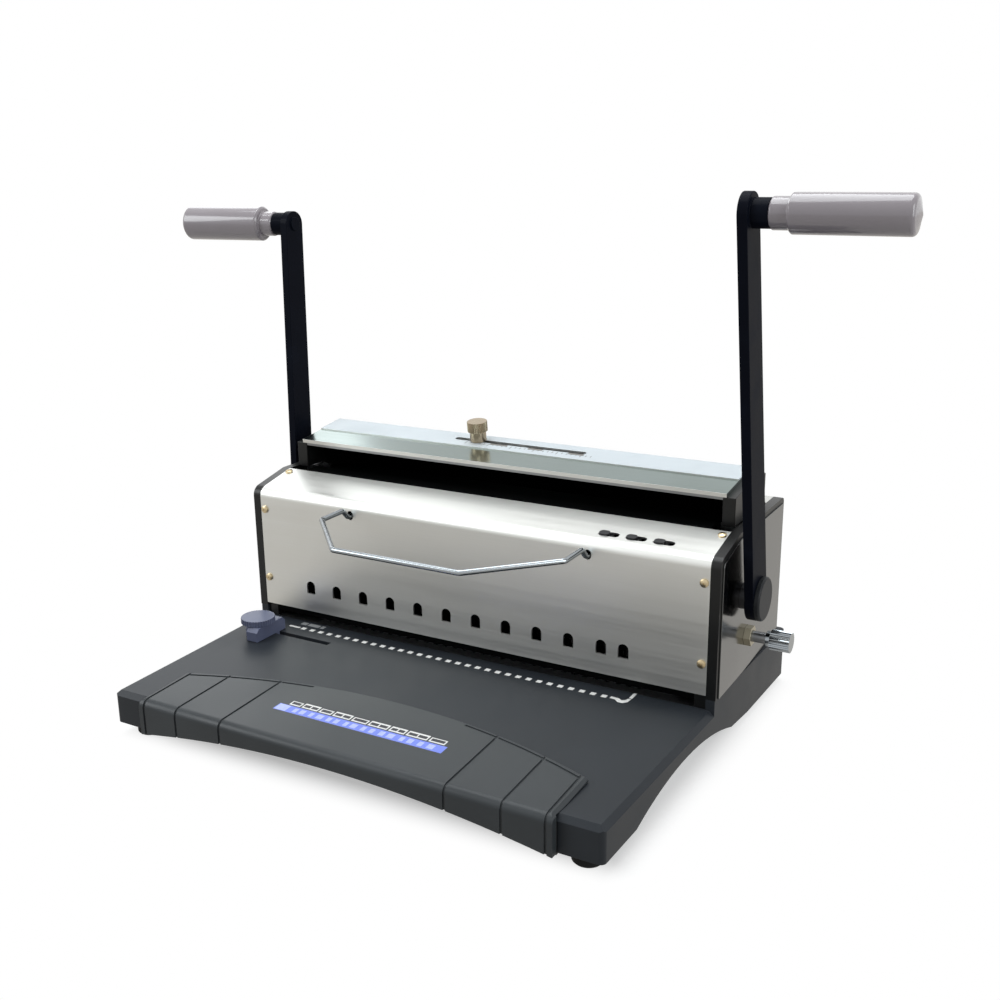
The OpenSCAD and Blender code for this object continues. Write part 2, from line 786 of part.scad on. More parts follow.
// Frame of the right side; the left one is its mirror without the spindle hole
module end_frame(spindle) {
    difference() {
        union() {
            slab_x(cover_half, frame_out) body_profile(0, plinth_z);
            block([frame_foot_x, die_front, die_low], [cover_half, body_back - sheet_t, frame_foot_z]);
            slab_x(cover_half - flange_w, cover_half) intersection() {
                difference() {
                    body_profile(sheet_t, guide_top);
                    body_profile(sheet_t + flange_t, guide_top);
                }
                square([slope_y - hem / 2, body_top]);
            }
        }
        bar_x(cover_half - over, frame_out + over, punch_y, punch_h, bush_d + 2 * fit);
        bar_x(cover_half - over, frame_out + over, closer_y, closer_h, bush_d + 2 * fit);
        if (spindle) bar_x(cover_half - over, frame_out + over, spindle_y, spindle_h, spindle_d + 2);
        screw_places() cylinder(h = screw_hole, d = screw_d + 2 * fit, center = true);
    }
}

module left_end_frame() {
    color("#1c1d1f") mirror([1, 0, 0]) end_frame(false);
}

module right_end_frame() {
    color("#1c1d1f") end_frame(true);
}

module side_panel(y, z) {
    difference() {
        slab_x(frame_out, panel_out) body_profile(panel_inset, plinth_z);
        bar_x(frame_out - over, panel_out + over, y, z, bush_d + 2 * fit);
        children();
    }
}

module left_side_panel() {
    color("#8d9094") mirror([1, 0, 0]) side_panel(closer_y, closer_h);
}

module right_side_panel() {
    color("#8d9094") side_panel(punch_y, punch_h)
        bar_x(frame_out - over, panel_out + over, spindle_y, spindle_h, spindle_d + 2);
}

// Screw axes on the right: two on the front, one on the slope, +Z out of the cover
module screw_places() {
    x = cover_half - flange_w / 2;
    for (z = [bend_z - screw_drop, cover_low + screw_rise])
        translate([x, body_front, z]) rotate([90, 0, 0]) children();
    on_slope(x, slope_y - hem) children();
}

// Frame on the sloping top: +Y up the slope, +Z out of it
module on_slope(x, y) {
    translate([x, y, bend_z + (y - body_front) * tan(slope_a)]) rotate([slope_a, 0, 0]) children();
}

// Windows stand on every third pin, and the last one on the second pin after it
function window_x(i) = pin_x0 + pin_pitch * (i < windows - 1 ? 3 * i : 3 * i - 1);

module front_cover() {
    r = window_w / 2;
    color("#c9c5bb") difference() {
        union() {
            slab_x(-cover_half, cover_half) intersection() {
                difference() {
                    body_profile(0, cover_low);
                    body_profile(sheet_t, cover_low - over);
                }
                square([slope_y, body_top]);
            }
            block([-cover_half, slope_y - sheet_t, body_top - hem], [cover_half, slope_y, body_top - sheet_t]);
        }
        for (i = [0 : windows - 1]) translate([window_x(i), body_front, tray_h + window_z]) {
            block([-r, -over, -window_h / 2], [r, sheet_t + over, window_h / 2 - r]);
            translate([0, -over, window_h / 2 - r]) rotate([-90, 0, 0])
                cylinder(h = sheet_t + 2 * over, r = r);
        }
        for (i = [0 : 2]) on_slope(release_x + i * release_step, release_y)
            oblong(release_len, release_w, 3 * sheet_t);
        both_sides() {
            translate([hanger_half, body_front, pivot_z + 0.4]) rotate([90, 90, 0])
                oblong(rod_d + 3.2, rod_d + 1, 3 * sheet_t);
            screw_places() cylinder(h = screw_hole, d = screw_d + 2 * fit, center = true);
        }
    }
}

module rear_cover() {
    color("#b9bbbd") slab_x(-cover_half, cover_half) intersection() {
        difference() {
            body_profile(0, plinth_z);
            body_profile(sheet_t, plinth_z - over);
        }
        translate([hood_back, plinth_z]) square([body_back, body_top]);
    }
}

module cover_screws() {
    head_h = 1.8;
    long = 5;
    color("#b89f63") both_sides() screw_places() {
        rotate_extrude() difference() {
            intersection() {
                translate([0, head_h - screw_head_d]) circle(screw_head_d);
                square([screw_head_d / 2, head_h]);
            }
            translate([-over, head_h - 0.7]) square([over + 0.5, 2]);
        }
        translate([0, 0, -long]) cylinder(h = long, d = screw_d);
    }
}

// Flanged bush in the right frame: bore for the shaft, reaching out to x
module shaft_bush(y, z, x) {
    difference() {
        union() {
            bar_x(cover_half - bush_flange_t, x, y, z, bush_d);
            bar_x(cover_half - bush_flange_t, cover_half, y, z, bush_flange_d);
        }
        bar_x(cover_half - bush_flange_t - over, x + over, y, z, shaft_bore);
    }
}

module shaft_bushes() {
    reach = arm_in - slip;
    color("#a98d4f") {
        shaft_bush(punch_y, punch_h, reach);
        shaft_bush(closer_y, closer_h, frame_out);
        mirror([1, 0, 0]) {
            shaft_bush(punch_y, punch_h, frame_out);
            shaft_bush(closer_y, closer_h, reach);
        }
    }
}

// Upright channel on the right frame, open to the middle, for a tongue centred on y
module ram_channel(y, low, high) {
    half = tongue_t / 2 + slip;
    difference() {
        block([channel_x, y - half - channel_wall, low], [cover_half, y + half + channel_wall, high]);
        block([channel_x - over, y - half, low - over], [tongue_end + slip, y + half, high + over]);
    }
}

module ram_guides() {
    color("#6b6f73") both_sides() {
        ram_channel(pin_y, guide_top, punch_channel_top);
        ram_channel(closer_tongue_y, closer_channel_low, closer_channel_top);
    }
}

// Punch

module at_pins() {
    for (i = [0 : pins - 1]) translate([pin_x0 + i * pin_pitch, pin_y, 0]) children();
}

module pin_holes(low, high) {
    w = pin_w + 2 * pin_fit;
    at_pins() block([-w / 2, -w / 2, low - over], [w / 2, w / 2, high + over]);
}

module die_plate() {
    color("#4a4d50") difference() {
        block([-frame_foot_x, die_front, die_low], [frame_foot_x, die_front + die_d, tray_h]);
        pin_holes(die_low, tray_h);
    }
}

module pin_guide_plate() {
    color("#232426") difference() {
        block([-frame_foot_x, die_front, guide_low], [frame_foot_x, die_front + guide_d, guide_top]);
        pin_holes(guide_low, guide_top);
    }
}

module punch_pins() {
    color("#55585b") at_pins()
        block([-pin_w / 2, -pin_w / 2, guide_low + slip], [pin_w / 2, pin_w / 2, beam_low]);
}

module punch_beam() {
    color("#1f2022") {
        block([-channel_x + slip, beam_front, beam_low], [channel_x - slip, beam_back, beam_top]);
        both_sides() block([channel_x - slip, pin_y - tongue_t / 2, beam_low],
            [tongue_end, pin_y + tongue_t / 2, beam_top]);
    }
}

// Rack in front of the punch shaft, on a bracket bolted to the back of the beam
module punch_racks() {
    back = punch_rack_y - beam_back;
    above = 5;
    below = 2;
    step = PI * punch_module;
    foot = punch_h - (below + 0.5) * step;
    color("#6f7377") both_sides() slab_x(punch_pinion_x - gear_w / 2, punch_pinion_x + gear_w / 2) {
        translate([punch_rack_y, punch_h]) mirror([1, 0]) polygon(rack_points(punch_module, below, above, back));
        polygon([[beam_back, beam_low], [beam_back + back / 3, beam_low],
            [punch_rack_y - tooth_dedendum * punch_module, foot], [beam_back, foot + step]]);
    }
}

// Pair of pinions with a gap between teeth at turn degrees, where the rack meets them
module pinion_pair(x, y, z, teeth, m, turn) {
    both_sides() slab_x(x - gear_w / 2, x + gear_w / 2) translate([y, z]) difference() {
        rotate(turn) polygon(pinion_points(teeth, m));
        circle(d = shaft_bore);
    }
}

module punch_pinions() {
    color("#8a8d90") pinion_pair(punch_pinion_x, punch_y, punch_h, punch_teeth, punch_module, 180);
}

module punch_shaft() {
    color("#9a9da0") bar_x(-frame_out + over, arm_out, punch_y, punch_h, shaft_d);
}

// Lever on the right of its shaft, leaning by lean degrees to the front
module lever_frame(y, z, lean) {
    translate([0, y, z]) rotate([lean, 0, 0]) children();
}

// Axis of the grip: +X out of the lever, from the middle of its thickness
module at_grip(cant) {
    translate([arm_in + arm_t / 2, 0, arm_len]) rotate([0, 0, -cant]) children();
}

module lever_arm(low_w, top_w, cant) {
    stud_h = 1.5;
    difference() {
        union() {
            slab_x(arm_in, arm_out) {
                circle(d = boss_d);
                polygon([[-low_w / 2, 0], [low_w / 2, 0], [top_w / 2, arm_len], [-top_w / 2, arm_len]]);
                translate([0, arm_len]) circle(d = top_w);
            }
            at_grip(cant) bar_x(0, collar_end, 0, 0, collar_d);
            bar_x(arm_in - stud_h, arm_in + over, 0, arm_len, collar_d * 0.6);
        }
        bar_x(arm_in - over, arm_out + over, 0, 0, shaft_bore);
        at_grip(cant) bar_x(-rod_in, collar_end + over, 0, 0, grip_rod_d + 2 * fit);
    }
}

module lever_grip(d, len, cant) {
    round_r = 3;
    bore = grip_rod_d / 2 + fit;
    neck = grip_neck_d / 2;
    r = d / 2;
    crown = 2.2;
    bevel = 1.5;
    end = len - crown;
    at_grip(cant) translate([collar_end, 0, 0]) rotate([0, 90, 0]) rotate_extrude() difference() {
        union() {
            polygon([[0, 0], [neck - 1, 0], [neck, 1], [neck, grip_neck_len], [r - bevel, grip_neck_len],
                [r, grip_neck_len + bevel], [r, end - round_r], [r - round_r, end], [0, len]]);
            translate([r - round_r, end - round_r]) circle(round_r);
        }
        translate([-over, -over]) square([bore + over, len - rod_short + over]);
        translate([-d, -over]) square([d, len + 2 * over]);
    }
}

module lever_rod(len, cant) {
    at_grip(cant) bar_x(-rod_in, collar_end + len - rod_short - over, 0, 0, grip_rod_d);
}

module lever_cap() {
    bevel = 1;
    translate([arm_out, 0, 0]) rotate([0, 90, 0])
        rotate_extrude() polygon([[0, 0], [boss_d / 2, 0], [boss_d / 2, cap_t - bevel],
            [boss_d / 2 - bevel, cap_t], [0, cap_t]]);
}

module punch_arm() {
    color("#202124") lever_frame(punch_y, punch_h, punch_lean)
        lever_arm(punch_low_w, punch_top_w, punch_cant);
}

module punch_grip() {
    color("#a0969b") lever_frame(punch_y, punch_h, punch_lean)
        lever_grip(punch_grip_d, punch_grip_len, punch_cant);
}

module punch_grip_rod() {
    color("#8a8d90") lever_frame(punch_y, punch_h, punch_lean)
        lever_rod(punch_grip_len, punch_cant);
}

module punch_pivot_cap() {
    color("#5c5f63") lever_frame(punch_y, punch_h, punch_lean) lever_cap();
}

// Tab in the n-th slot of the slope, held by a foot under the cover
module pin_release(n) {
    rest = -3;
    proud = 1.2;
    foot_l = 11;
    foot_w = release_w + 3;
    foot_t = 2;
    color("#17181a") on_slope(release_x + n * release_step, release_y) translate([rest, 0, 0]) {
        translate([0, 0, (proud - sheet_t - slip) / 2])
            oblong(release_tab, release_w - 2 * slip, (proud + sheet_t + slip) / 2);
        block([-foot_l / 2, -foot_w / 2, -sheet_t - slip - foot_t], [foot_l / 2, foot_w / 2, -sheet_t - slip]);
    }
}

module pin_release_1() {
    pin_release(0);
}

module pin_release_2() {
    pin_release(1);
}

module pin_release_3() {
    pin_release(2);
}

// Margin stop behind the pins; its fork takes the crank pin
module back_gauge() {
    slot = crank_pin_d / 2 + slip;
    arm_back = spindle_y + slot + prong_t;
    color("#77797c") {
        block([-gauge_half, gauge_y, gauge_low], [prong_x + prong_w, gauge_y + gauge_d, gauge_top]);
        block([prong_x, gauge_y + gauge_d, gauge_low], [prong_x + prong_w, arm_back, gauge_top]);
        for (y = [spindle_y - slot - prong_t, spindle_y + slot])
            block([prong_x, y, gauge_top], [prong_x + prong_w, y + prong_t, spindle_h - crank_throw + crank_pin_d]);
    }
}

module depth_spindle() {
    web = 6;
    color("#a5a7a9") {
        bar_x(crank_x, knob_x + knob_len / 2, spindle_y, spindle_h, spindle_d);
        slab_x(crank_x, crank_x + crank_t) translate([spindle_y, spindle_h]) {
            circle(d = spindle_d + 5);
            translate([-web / 2, -crank_throw]) square([web, crank_throw]);
            translate([0, -crank_throw]) circle(d = crank_pin_d + 3);
        }
        bar_x(prong_x, crank_x, spindle_y, spindle_h - crank_throw, crank_pin_d);
    }
}

module depth_knob() {
    collar = 3;
    color("#b4b6b8") difference() {
        union() {
            slab_x(knob_x + collar, knob_x + knob_len) translate([spindle_y, spindle_h])
                polygon(knurl(knob_d, 30, 0.5));
            bar_x(knob_x, knob_x + collar, spindle_y, spindle_h, knob_d - 3);
        }
        bar_x(knob_x - over, knob_x + knob_len / 2, spindle_y, spindle_h, spindle_d + 2 * fit);
    }
}

module spindle_nut() {
    hex_t = 5;
    color("#b08d4a") difference() {
        union() {
            bar_x(cover_half - 2, panel_out, spindle_y, spindle_h, spindle_d + 2 - 2 * fit);
            slab_x(panel_out, panel_out + hex_t) translate([spindle_y, spindle_h])
                circle(d = spindle_d + 7, $fn = 6);
        }
        bar_x(cover_half - 2 - over, panel_out + hex_t + over, spindle_y, spindle_h, spindle_d + 2 * fit);
    }
}

// Wire closer

module closer_arm() {
    color("#202124") mirror([1, 0, 0]) lever_frame(closer_y, closer_h, -closer_lean)
        lever_arm(closer_low_w, closer_top_w, closer_cant);
}

module closer_grip() {
    color("#a0969b") mirror([1, 0, 0]) lever_frame(closer_y, closer_h, -closer_lean)
        lever_grip(closer_grip_d, closer_grip_len, closer_cant);
}

module closer_grip_rod() {
    color("#8a8d90") mirror([1, 0, 0]) lever_frame(closer_y, closer_h, -closer_lean)
        lever_rod(closer_grip_len, closer_cant);
}

module closer_pivot_cap() {
    color("#5c5f63") mirror([1, 0, 0]) lever_frame(closer_y, closer_h, -closer_lean) lever_cap();
}

module closer_shaft() {
    color("#9a9da0") bar_x(-arm_out, frame_out - over, closer_y, closer_h, shaft_d);
}

module closer_pinions() {
    color("#8a8d90") pinion_pair(closer_pinion_x, closer_y, closer_h, closer_teeth, closer_module, 0);
}

// Carriage across the body with the closing bar on its front edge
module closer_bar() {
    front = slope_y + 2 * sheet_t;
    back = closer_rack_y + rack_back_t;
    color("#1b1c1e") {
        block([-channel_x + slip, front, carriage_z], [channel_x - slip, back, carriage_z + carriage_t]);
        block([-channel_x + slip, front, carriage_z + carriage_t], [channel_x - slip, front + bar_d, body_top]);
        both_sides() block([channel_x - slip - tongue_t, closer_tongue_y - tongue_t / 2, closer_tongue_low],
            [channel_x - slip, closer_tongue_y + tongue_t / 2, carriage_z]);
        both_sides() block([channel_x - slip, closer_tongue_y - tongue_t / 2, closer_tongue_low],
            [tongue_end, closer_tongue_y + tongue_t / 2, carriage_z - tongue_drop]);
    }
}

// Rack behind the closer shaft, hanging from the carriage
module closer_racks() {
    above = 2;
    below = 6;
    step = PI * closer_module;
    color("#6f7377") both_sides() slab_x(closer_pinion_x - gear_w / 2, closer_pinion_x + gear_w / 2) {
        translate([closer_rack_y, closer_h]) polygon(rack_points(closer_module, below, above, rack_back_t));
        translate([closer_rack_y + tooth_dedendum * closer_module, closer_h + (above + 0.5) * step])
            square([rack_back_t - tooth_dedendum * closer_module,
                carriage_z - closer_h - (above + 0.5) * step]);
    }
}

// Frame on the head's plate: +Y up its slope from the front edge, +Z out of it
module on_head() {
    translate([0, head_front, head_top]) rotate([plate_a, 0, 0]) children();
}

module selector_slot() {
    translate([selector_len / 2 - selector_left, selector_in, 0]) oblong(selector_len, selector_w, 2 * plate_t);
}

module closer_anvil() {
    color("#4c4f52") on_head()
        block([-ear_in, over, -plate_t - anvil_t], [ear_in, over + anvil_d, -plate_t]);
}

module closer_top_plate() {
    color("#d5d8da") on_head() difference() {
        block([-head_half, 0, -plate_t], [head_half, plate_d, 0]);
        selector_slot();
    }
}

module scale_sheet() {
    color("#dfe3e8") on_head() difference() {
        block([-head_half, plate_d - scale_d, 0], [head_half, plate_d, scale_t]);
        selector_slot();
    }
}

module closer_hood() {
    lap = plate_back - 4;
    rear_top = plate_under(plate_back) - hood_drop;
    color("#1d1e20") slab_x(-ear_in, ear_in)
        polygon([[lap, plate_under(lap)], [plate_back, plate_under(plate_back)], [hood_back, rear_top],
            [hood_back, body_top - sheet_t], [hood_back - hood_t, body_top - sheet_t],
            [hood_back - hood_t, rear_top - hood_t], [plate_back, plate_under(plate_back) - hood_t],
            [lap, plate_under(lap) - hood_t]]);
}

module closer_ears() {
    front = head_front + over;
    rear_top = plate_under(plate_back) - hood_drop;
    foot_front = closer_tongue_y + tongue_t / 2 + channel_wall + slip + over;
    foot_deep = 24;
    color("#1b1c1e") both_sides() {
        slab_x(ear_in, cover_half - over)
            polygon([[front, body_top], [front, plate_under(front)], [plate_back, plate_under(plate_back)],
                [hood_back, rear_top], [hood_back, body_top]]);
        slab_x(head_half, cover_half)
            polygon([[foot_front, body_top - foot_deep], [foot_front, body_top + over],
                [hood_back, body_top + over], [hood_back, body_top - foot_deep]]);
    }
}

module selector_slide() {
    w = 18;
    d = 10;
    h = 5;
    color("#5f6366") on_head() translate([-selector_rest, selector_in, -plate_t - slip]) {
        block([-w / 2, -d / 2, -h], [w / 2, d / 2, 0]);
        cylinder(h = plate_t + scale_t + 2 * slip + thumb_collar_h, d = stud_d);
    }
}

module selector_thumbscrew() {
    color("#b7a67e") on_head() translate([-selector_rest, selector_in, scale_t + slip]) difference() {
        union() {
            cylinder(h = thumb_collar_h, d = thumb_collar_d);
            translate([0, 0, thumb_collar_h]) linear_extrude(thumb_h) polygon(knurl(thumb_d, 36, 0.5));
        }
        translate([0, 0, -over]) cylinder(h = thumb_collar_h + over, d = stud_d + 2 * fit);
    }
}

// Paper and wire aids

module edge_guide() {
    bevel = 3;
    key_half = stop_slot_w / 2 - slip;
    front = -stop_front;
    back = front + stop_len;
    shoe_t = 2.5;
    shoe_w = stop_slot_w + 7;
    color("#5c6274") {
        slab_x(stop_x, -stop_face)
            polygon([[front, stop_low], [front, stop_top - bevel], [front + bevel, stop_top],
                [back - bevel, stop_top], [back, stop_top - bevel], [back, stop_low]]);
        translate([stop_x, -stop_knob_y, stop_low]) cylinder(h = stop_h, d = stop_boss_d);
        block([stop_x + slip, -stop_slot_y - key_half, tray_low - slip],
            [stop_x + slip + stop_key, -stop_slot_y + key_half, stop_low + over]);
        block([stop_x + slip, -stop_slot_y - shoe_w / 2, tray_low - slip - shoe_t],
            [stop_x + slip + stop_key, -stop_slot_y + shoe_w / 2, tray_low - slip]);
        translate([stop_x, -stop_knob_y, stop_top]) cylinder(h = stop_knob_h - 1, d = stop_stud_d);
    }
}

module edge_guide_knob() {
    color("#6a7088") translate([stop_x, -stop_knob_y, stop_top + slip]) difference() {
        linear_extrude(stop_knob_h) polygon(knurl(stop_knob_d, 40, 0.5));
        translate([0, 0, -over]) cylinder(h = stop_knob_h - 1 + over, d = stop_stud_d + 2 * fit);
    }
}

// Bent rod along points: straight runs, and an arc of radius r at each inner point
function unit(v) = v / norm(v);
function setback(a, b, c, r) = r * tan(acos(unit(b - a) * unit(c - b)) / 2);

module rod_run(a, b) {
    v = b - a;
    translate(a) rotate([0, acos(v[2] / norm(v)), atan2(v[1], v[0])]) cylinder(h = norm(v), d = rod_d);
}

// The elbow is a hair fatter than the runs and reaches a little over both of them
module rod_bend(a, b, c, r) {
    lap = 1;
    bead = 0.04;
    u = unit(b - a);
    w = unit(c - b);
    n = unit(w - (u * w) * u);
    z = cross(u, n);
    o = b - setback(a, b, c, r) * u + r * n;
    multmatrix([[-n[0], u[0], z[0], o[0]], [-n[1], u[1], z[1], o[1]], [-n[2], u[2], z[2], o[2]]])
        rotate([0, 0, -lap]) rotate_extrude(angle = acos(u * w) + 2 * lap)
            translate([r, 0]) circle(d = rod_d + bead);
}

module bent_rod(p, r) {
    last = len(p) - 1;
    cut = [for (i = [0 : last]) i == 0 || i == last ? 0 : setback(p[i - 1], p[i], p[i + 1], r)];
    for (i = [0 : last - 1])
        let (u = unit(p[i + 1] - p[i])) rod_run(p[i] + cut[i] * u, p[i + 1] - cut[i + 1] * u);
    for (i = [1 : last - 1]) rod_bend(p[i - 1], p[i], p[i + 1], r);
}

module wire_hanger() {
    top = pivot_z + hanger_rise;
    half = [[hanger_half + hanger_pin, pivot_y, pivot_z],
        [hanger_half, pivot_y, pivot_z],
        [hanger_half, body_front - 3, pivot_z],
        [hanger_half, body_front - 9, top],
        [hanger_half, body_front - hanger_arm, top],
        [hanger_front_half, body_front - hanger_reach, top]];
    other = [for (i = [len(half) - 1 : -1 : 0]) [-half[i][0], half[i][1], half[i][2]]];
    color("#c3c6c8") bent_rod(concat(half, other), hanger_bend);
}

module hanger_brackets() {
    out = hanger_half + hanger_pin;
    h = rod_d + 3.6;
    color("#54575a") both_sides() difference() {
        block([out - bracket_w, body_front + sheet_t, pivot_z - h / 2], [out, pivot_y + h / 2, pivot_z + h / 2]);
        bar_x(out - bracket_w - over, out + over, pivot_y, pivot_z, rod_d + 2 * fit);
    }
}

base_tray();
bottom_pan();
rubber_feet();
drawer_front();
chip_bin();
chassis_plate();
left_end_frame();
right_end_frame();
left_side_panel();
right_side_panel();
front_cover();
rear_cover();
cover_screws();
shaft_bushes();
ram_guides();
die_plate();
pin_guide_plate();
punch_arm();
punch_grip();
punch_grip_rod();
punch_pivot_cap();
punch_shaft();
punch_pinions();
punch_beam();
punch_racks();
punch_pins();
pin_release_1();
pin_release_2();
pin_release_3();
back_gauge();
depth_spindle();
depth_knob();
spindle_nut();
closer_arm();
closer_grip();
closer_grip_rod();
closer_pivot_cap();
closer_shaft();
closer_pinions();
closer_bar();
closer_racks();
closer_anvil();
closer_top_plate();
scale_sheet();
closer_hood();
closer_ears();
selector_slide();
selector_thumbscrew();
edge_guide();
edge_guide_knob();
wire_hanger();
hanger_brackets();
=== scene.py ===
# %% [markdown]
# # A wire binding machine
# The machine stands on a desk. The right lever drives 34 square pins through a stack of paper, and the
# left lever lifts a bar that presses the wire loops shut under the head on top. The shapes could be
# modelled again here, but then the picture and the working model would drift apart. So they come from the
# CAD frame, in metres, and this lesson is about finishes: what each surface is made of and how it catches
# light.

# %% Load the frame
import json
import math
import bmesh
import bpy
from mathutils import Matrix, Vector


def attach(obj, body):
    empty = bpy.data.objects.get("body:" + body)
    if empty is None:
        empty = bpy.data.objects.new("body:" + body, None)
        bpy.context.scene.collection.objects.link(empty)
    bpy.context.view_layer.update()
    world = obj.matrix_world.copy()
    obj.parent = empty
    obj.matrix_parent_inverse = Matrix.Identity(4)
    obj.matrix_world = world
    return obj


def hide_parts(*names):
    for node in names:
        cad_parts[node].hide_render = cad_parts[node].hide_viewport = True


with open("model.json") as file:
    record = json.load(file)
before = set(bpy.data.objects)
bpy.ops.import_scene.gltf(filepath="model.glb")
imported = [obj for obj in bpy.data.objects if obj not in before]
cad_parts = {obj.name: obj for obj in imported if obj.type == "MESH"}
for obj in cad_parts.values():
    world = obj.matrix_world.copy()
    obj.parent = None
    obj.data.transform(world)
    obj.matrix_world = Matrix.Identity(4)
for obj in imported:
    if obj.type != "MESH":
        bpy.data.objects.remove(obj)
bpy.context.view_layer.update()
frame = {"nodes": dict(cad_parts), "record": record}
MM = 0.001
bodies = frame["record"]["behaviour"]["bodies"]
body_of = {node: body for body, nodes in bodies.items() for node in nodes}
slot_of = {row["node"]: row["material_slot"] for row in frame["record"]["subparts"]}

# %% [markdown]
# ## Shader maths as Python
# A finish is a small graph of nodes. It could be wired by hand, one link after the other, but that hides
# the idea. Here one class wraps a socket: `+`, `-` and `*` add Math nodes, and `node` adds anything else.
# The graph then reads like the recipe it is.

# %% A socket that does maths
class Flow:
    """A socket of a node tree, or the bare tree where socket is None."""

    def __init__(self, tree, socket=None):
        self.tree, self.socket = tree, socket

    def node(self, kind, settings=None, inputs=None, out=0):
        """Adds a node: its settings first, then its sockets' values or links; gives one of its outputs."""
        made = self.tree.nodes.new("ShaderNode" + kind)
        for key, value in (settings or {}).items():
            setattr(made, key, value)
        for key, value in (inputs or {}).items():
            if isinstance(value, Flow):
                self.tree.links.new(value.socket, made.inputs[key])
            else:
                made.inputs[key].default_value = value
        return Flow(self.tree, made.outputs[out])

    def maths(self, operation, first, second=0.0):
        """A Math node; the operations on one value leave the second alone."""
        return self.node("Math", {"operation": operation}, {0: first, 1: second})

    def __add__(self, other):
        return self.maths("ADD", self, other)

    def __radd__(self, other):
        return self.maths("ADD", other, self)

    def __sub__(self, other):
        return self.maths("SUBTRACT", self, other)

    def __rsub__(self, other):
        return self.maths("SUBTRACT", other, self)

    def __mul__(self, other):
        return self.maths("MULTIPLY", self, other)

    def __rmul__(self, other):
        return self.maths("MULTIPLY", other, self)

    def between(self, low, high):
        """Soft step: 0 below low, 1 above high."""
        return self.node("MapRange", {"interpolation_type": "SMOOTHSTEP"},
                         {"Value": self, "From Min": low, "From Max": high})

    def blend(self, first, second):
        """Colour that goes from first to second as this value goes from 0 to 1."""
        factor, colour_a, colour_b, colour_out = 0, 6, 7, 2
        return self.node("Mix", {"data_type": "RGBA"},
                         {factor: self, colour_a: first, colour_b: second}, out=colour_out)


def rgb(red, green, blue):
    """Linear colour of a display colour given as 0 to 255."""
    def linear(v):
        v /= 255
        return v / 12.92 if v <= 0.04045 else ((v + 0.055) / 1.055) ** 2.4
    return linear(red), linear(green), linear(blue), 1


print("grey card:", [round(v, 3) for v in rgb(128, 128, 128)[:3]])

# %% [markdown]
# ## Looking at the surface
# Every finish needs the same three things: where a point is, noise at a chosen size, and noise drawn out
# along one direction for brushed metal. UV maps could say where a point is, but each piece would need its
# own. Object coordinates are in metres here, so a scale of 1000 means one noise cell per millimetre, on
# every piece alike.

# %% Places and noises
def surface(name):
    """New material: gives it, its shader node and the point on the surface."""
    made = bpy.data.materials.new(name)
    made.use_nodes = True
    tree = made.node_tree
    return made, tree.nodes["Principled BSDF"], Flow(tree).node("TexCoord", out="Object")


def noise(place, per_mm, detail, stretch=(1, 1, 1)):
    """Grey noise with per_mm cells to the millimetre, drawn out where stretch is small."""
    spread = place.node("Mapping", None, {"Vector": place, "Scale": stretch})
    return place.node("TexNoise", None, {"Vector": spread, "Scale": per_mm / MM, "Detail": detail})


def bump(height, strength, depth_mm):
    """Normal that follows a height, where a height of 1 stands depth_mm above 0."""
    return height.node("Bump", None, {"Strength": strength, "Distance": depth_mm * MM, "Height": height})


def set_shader(shader, **values):
    """Constants go on the shader's own sockets; Flow values are linked."""
    for key, value in values.items():
        socket = shader.inputs[key.replace("_", " ")]
        if isinstance(value, Flow):
            value.tree.links.new(value.socket, socket)
        else:
            socket.default_value = value


finishes = {}
print("one noise cell per millimetre is a scale of", round(1 / MM))

# %% [markdown]
# ## Moulded plastic
# The base and the apron are injection moulded in charcoal plastic with a fine spark-eroded grain, and the
# grips come out of a polished mould. One flat grey would look like card, and a photograph of grain would
# repeat. So the grain is a fine noise in the bump and in the roughness, and a slow noise shifts the
# colour a little, as rubbed and dusty places do. A clear coat gives the grips their polish.

# %% Plastics
PATCHES_PER_MM = 0.018
PLASTIC_INDEX = 1.4
POLISH_ROUGH = 0.06


def moulded_plastic(name, colour, rubbed, rough, shine, grain_mm, grain_depth, polish=0.0):
    made, shader, place = surface(name)
    grain = noise(place, 1 / grain_mm, 3)
    patches = noise(place, PATCHES_PER_MM, 3).between(0.35, 0.75)
    set_shader(shader, Base_Color=(patches * 0.75 + grain * 0.25).blend(colour, rubbed),
               Roughness=rough - 0.06 + patches * 0.08 + grain * 0.06,
               Normal=bump(grain, 0.5, grain_depth), Specular_IOR_Level=shine, IOR=PLASTIC_INDEX,
               Coat_Weight=polish, Coat_Roughness=POLISH_ROUGH)
    finishes[name] = made


moulded_plastic("tray_plastic", rgb(37, 41, 46), rgb(44, 48, 53),
                rough=0.42, shine=0.28, grain_mm=0.5, grain_depth=0.015)
moulded_plastic("apron_plastic", rgb(50, 54, 57), rgb(57, 61, 64),
                rough=0.38, shine=0.4, grain_mm=0.5, grain_depth=0.03)
moulded_plastic("grip_plastic", rgb(142, 135, 140), rgb(152, 145, 150),
                rough=0.22, shine=0.5, grain_mm=0.6, grain_depth=0.002, polish=0.8)
moulded_plastic("guide_plastic", rgb(88, 94, 118), rgb(98, 104, 128),
                rough=0.32, shine=0.45, grain_mm=0.5, grain_depth=0.03)
moulded_plastic("tab_plastic", rgb(30, 30, 33), rgb(38, 38, 40),
                rough=0.4, shine=0.4, grain_mm=0.4, grain_depth=0.03)
moulded_plastic("foot_rubber", rgb(26, 26, 27), rgb(36, 36, 36),
                rough=0.8, shine=0.3, grain_mm=0.7, grain_depth=0.06)
print("plastics:", list(finishes))

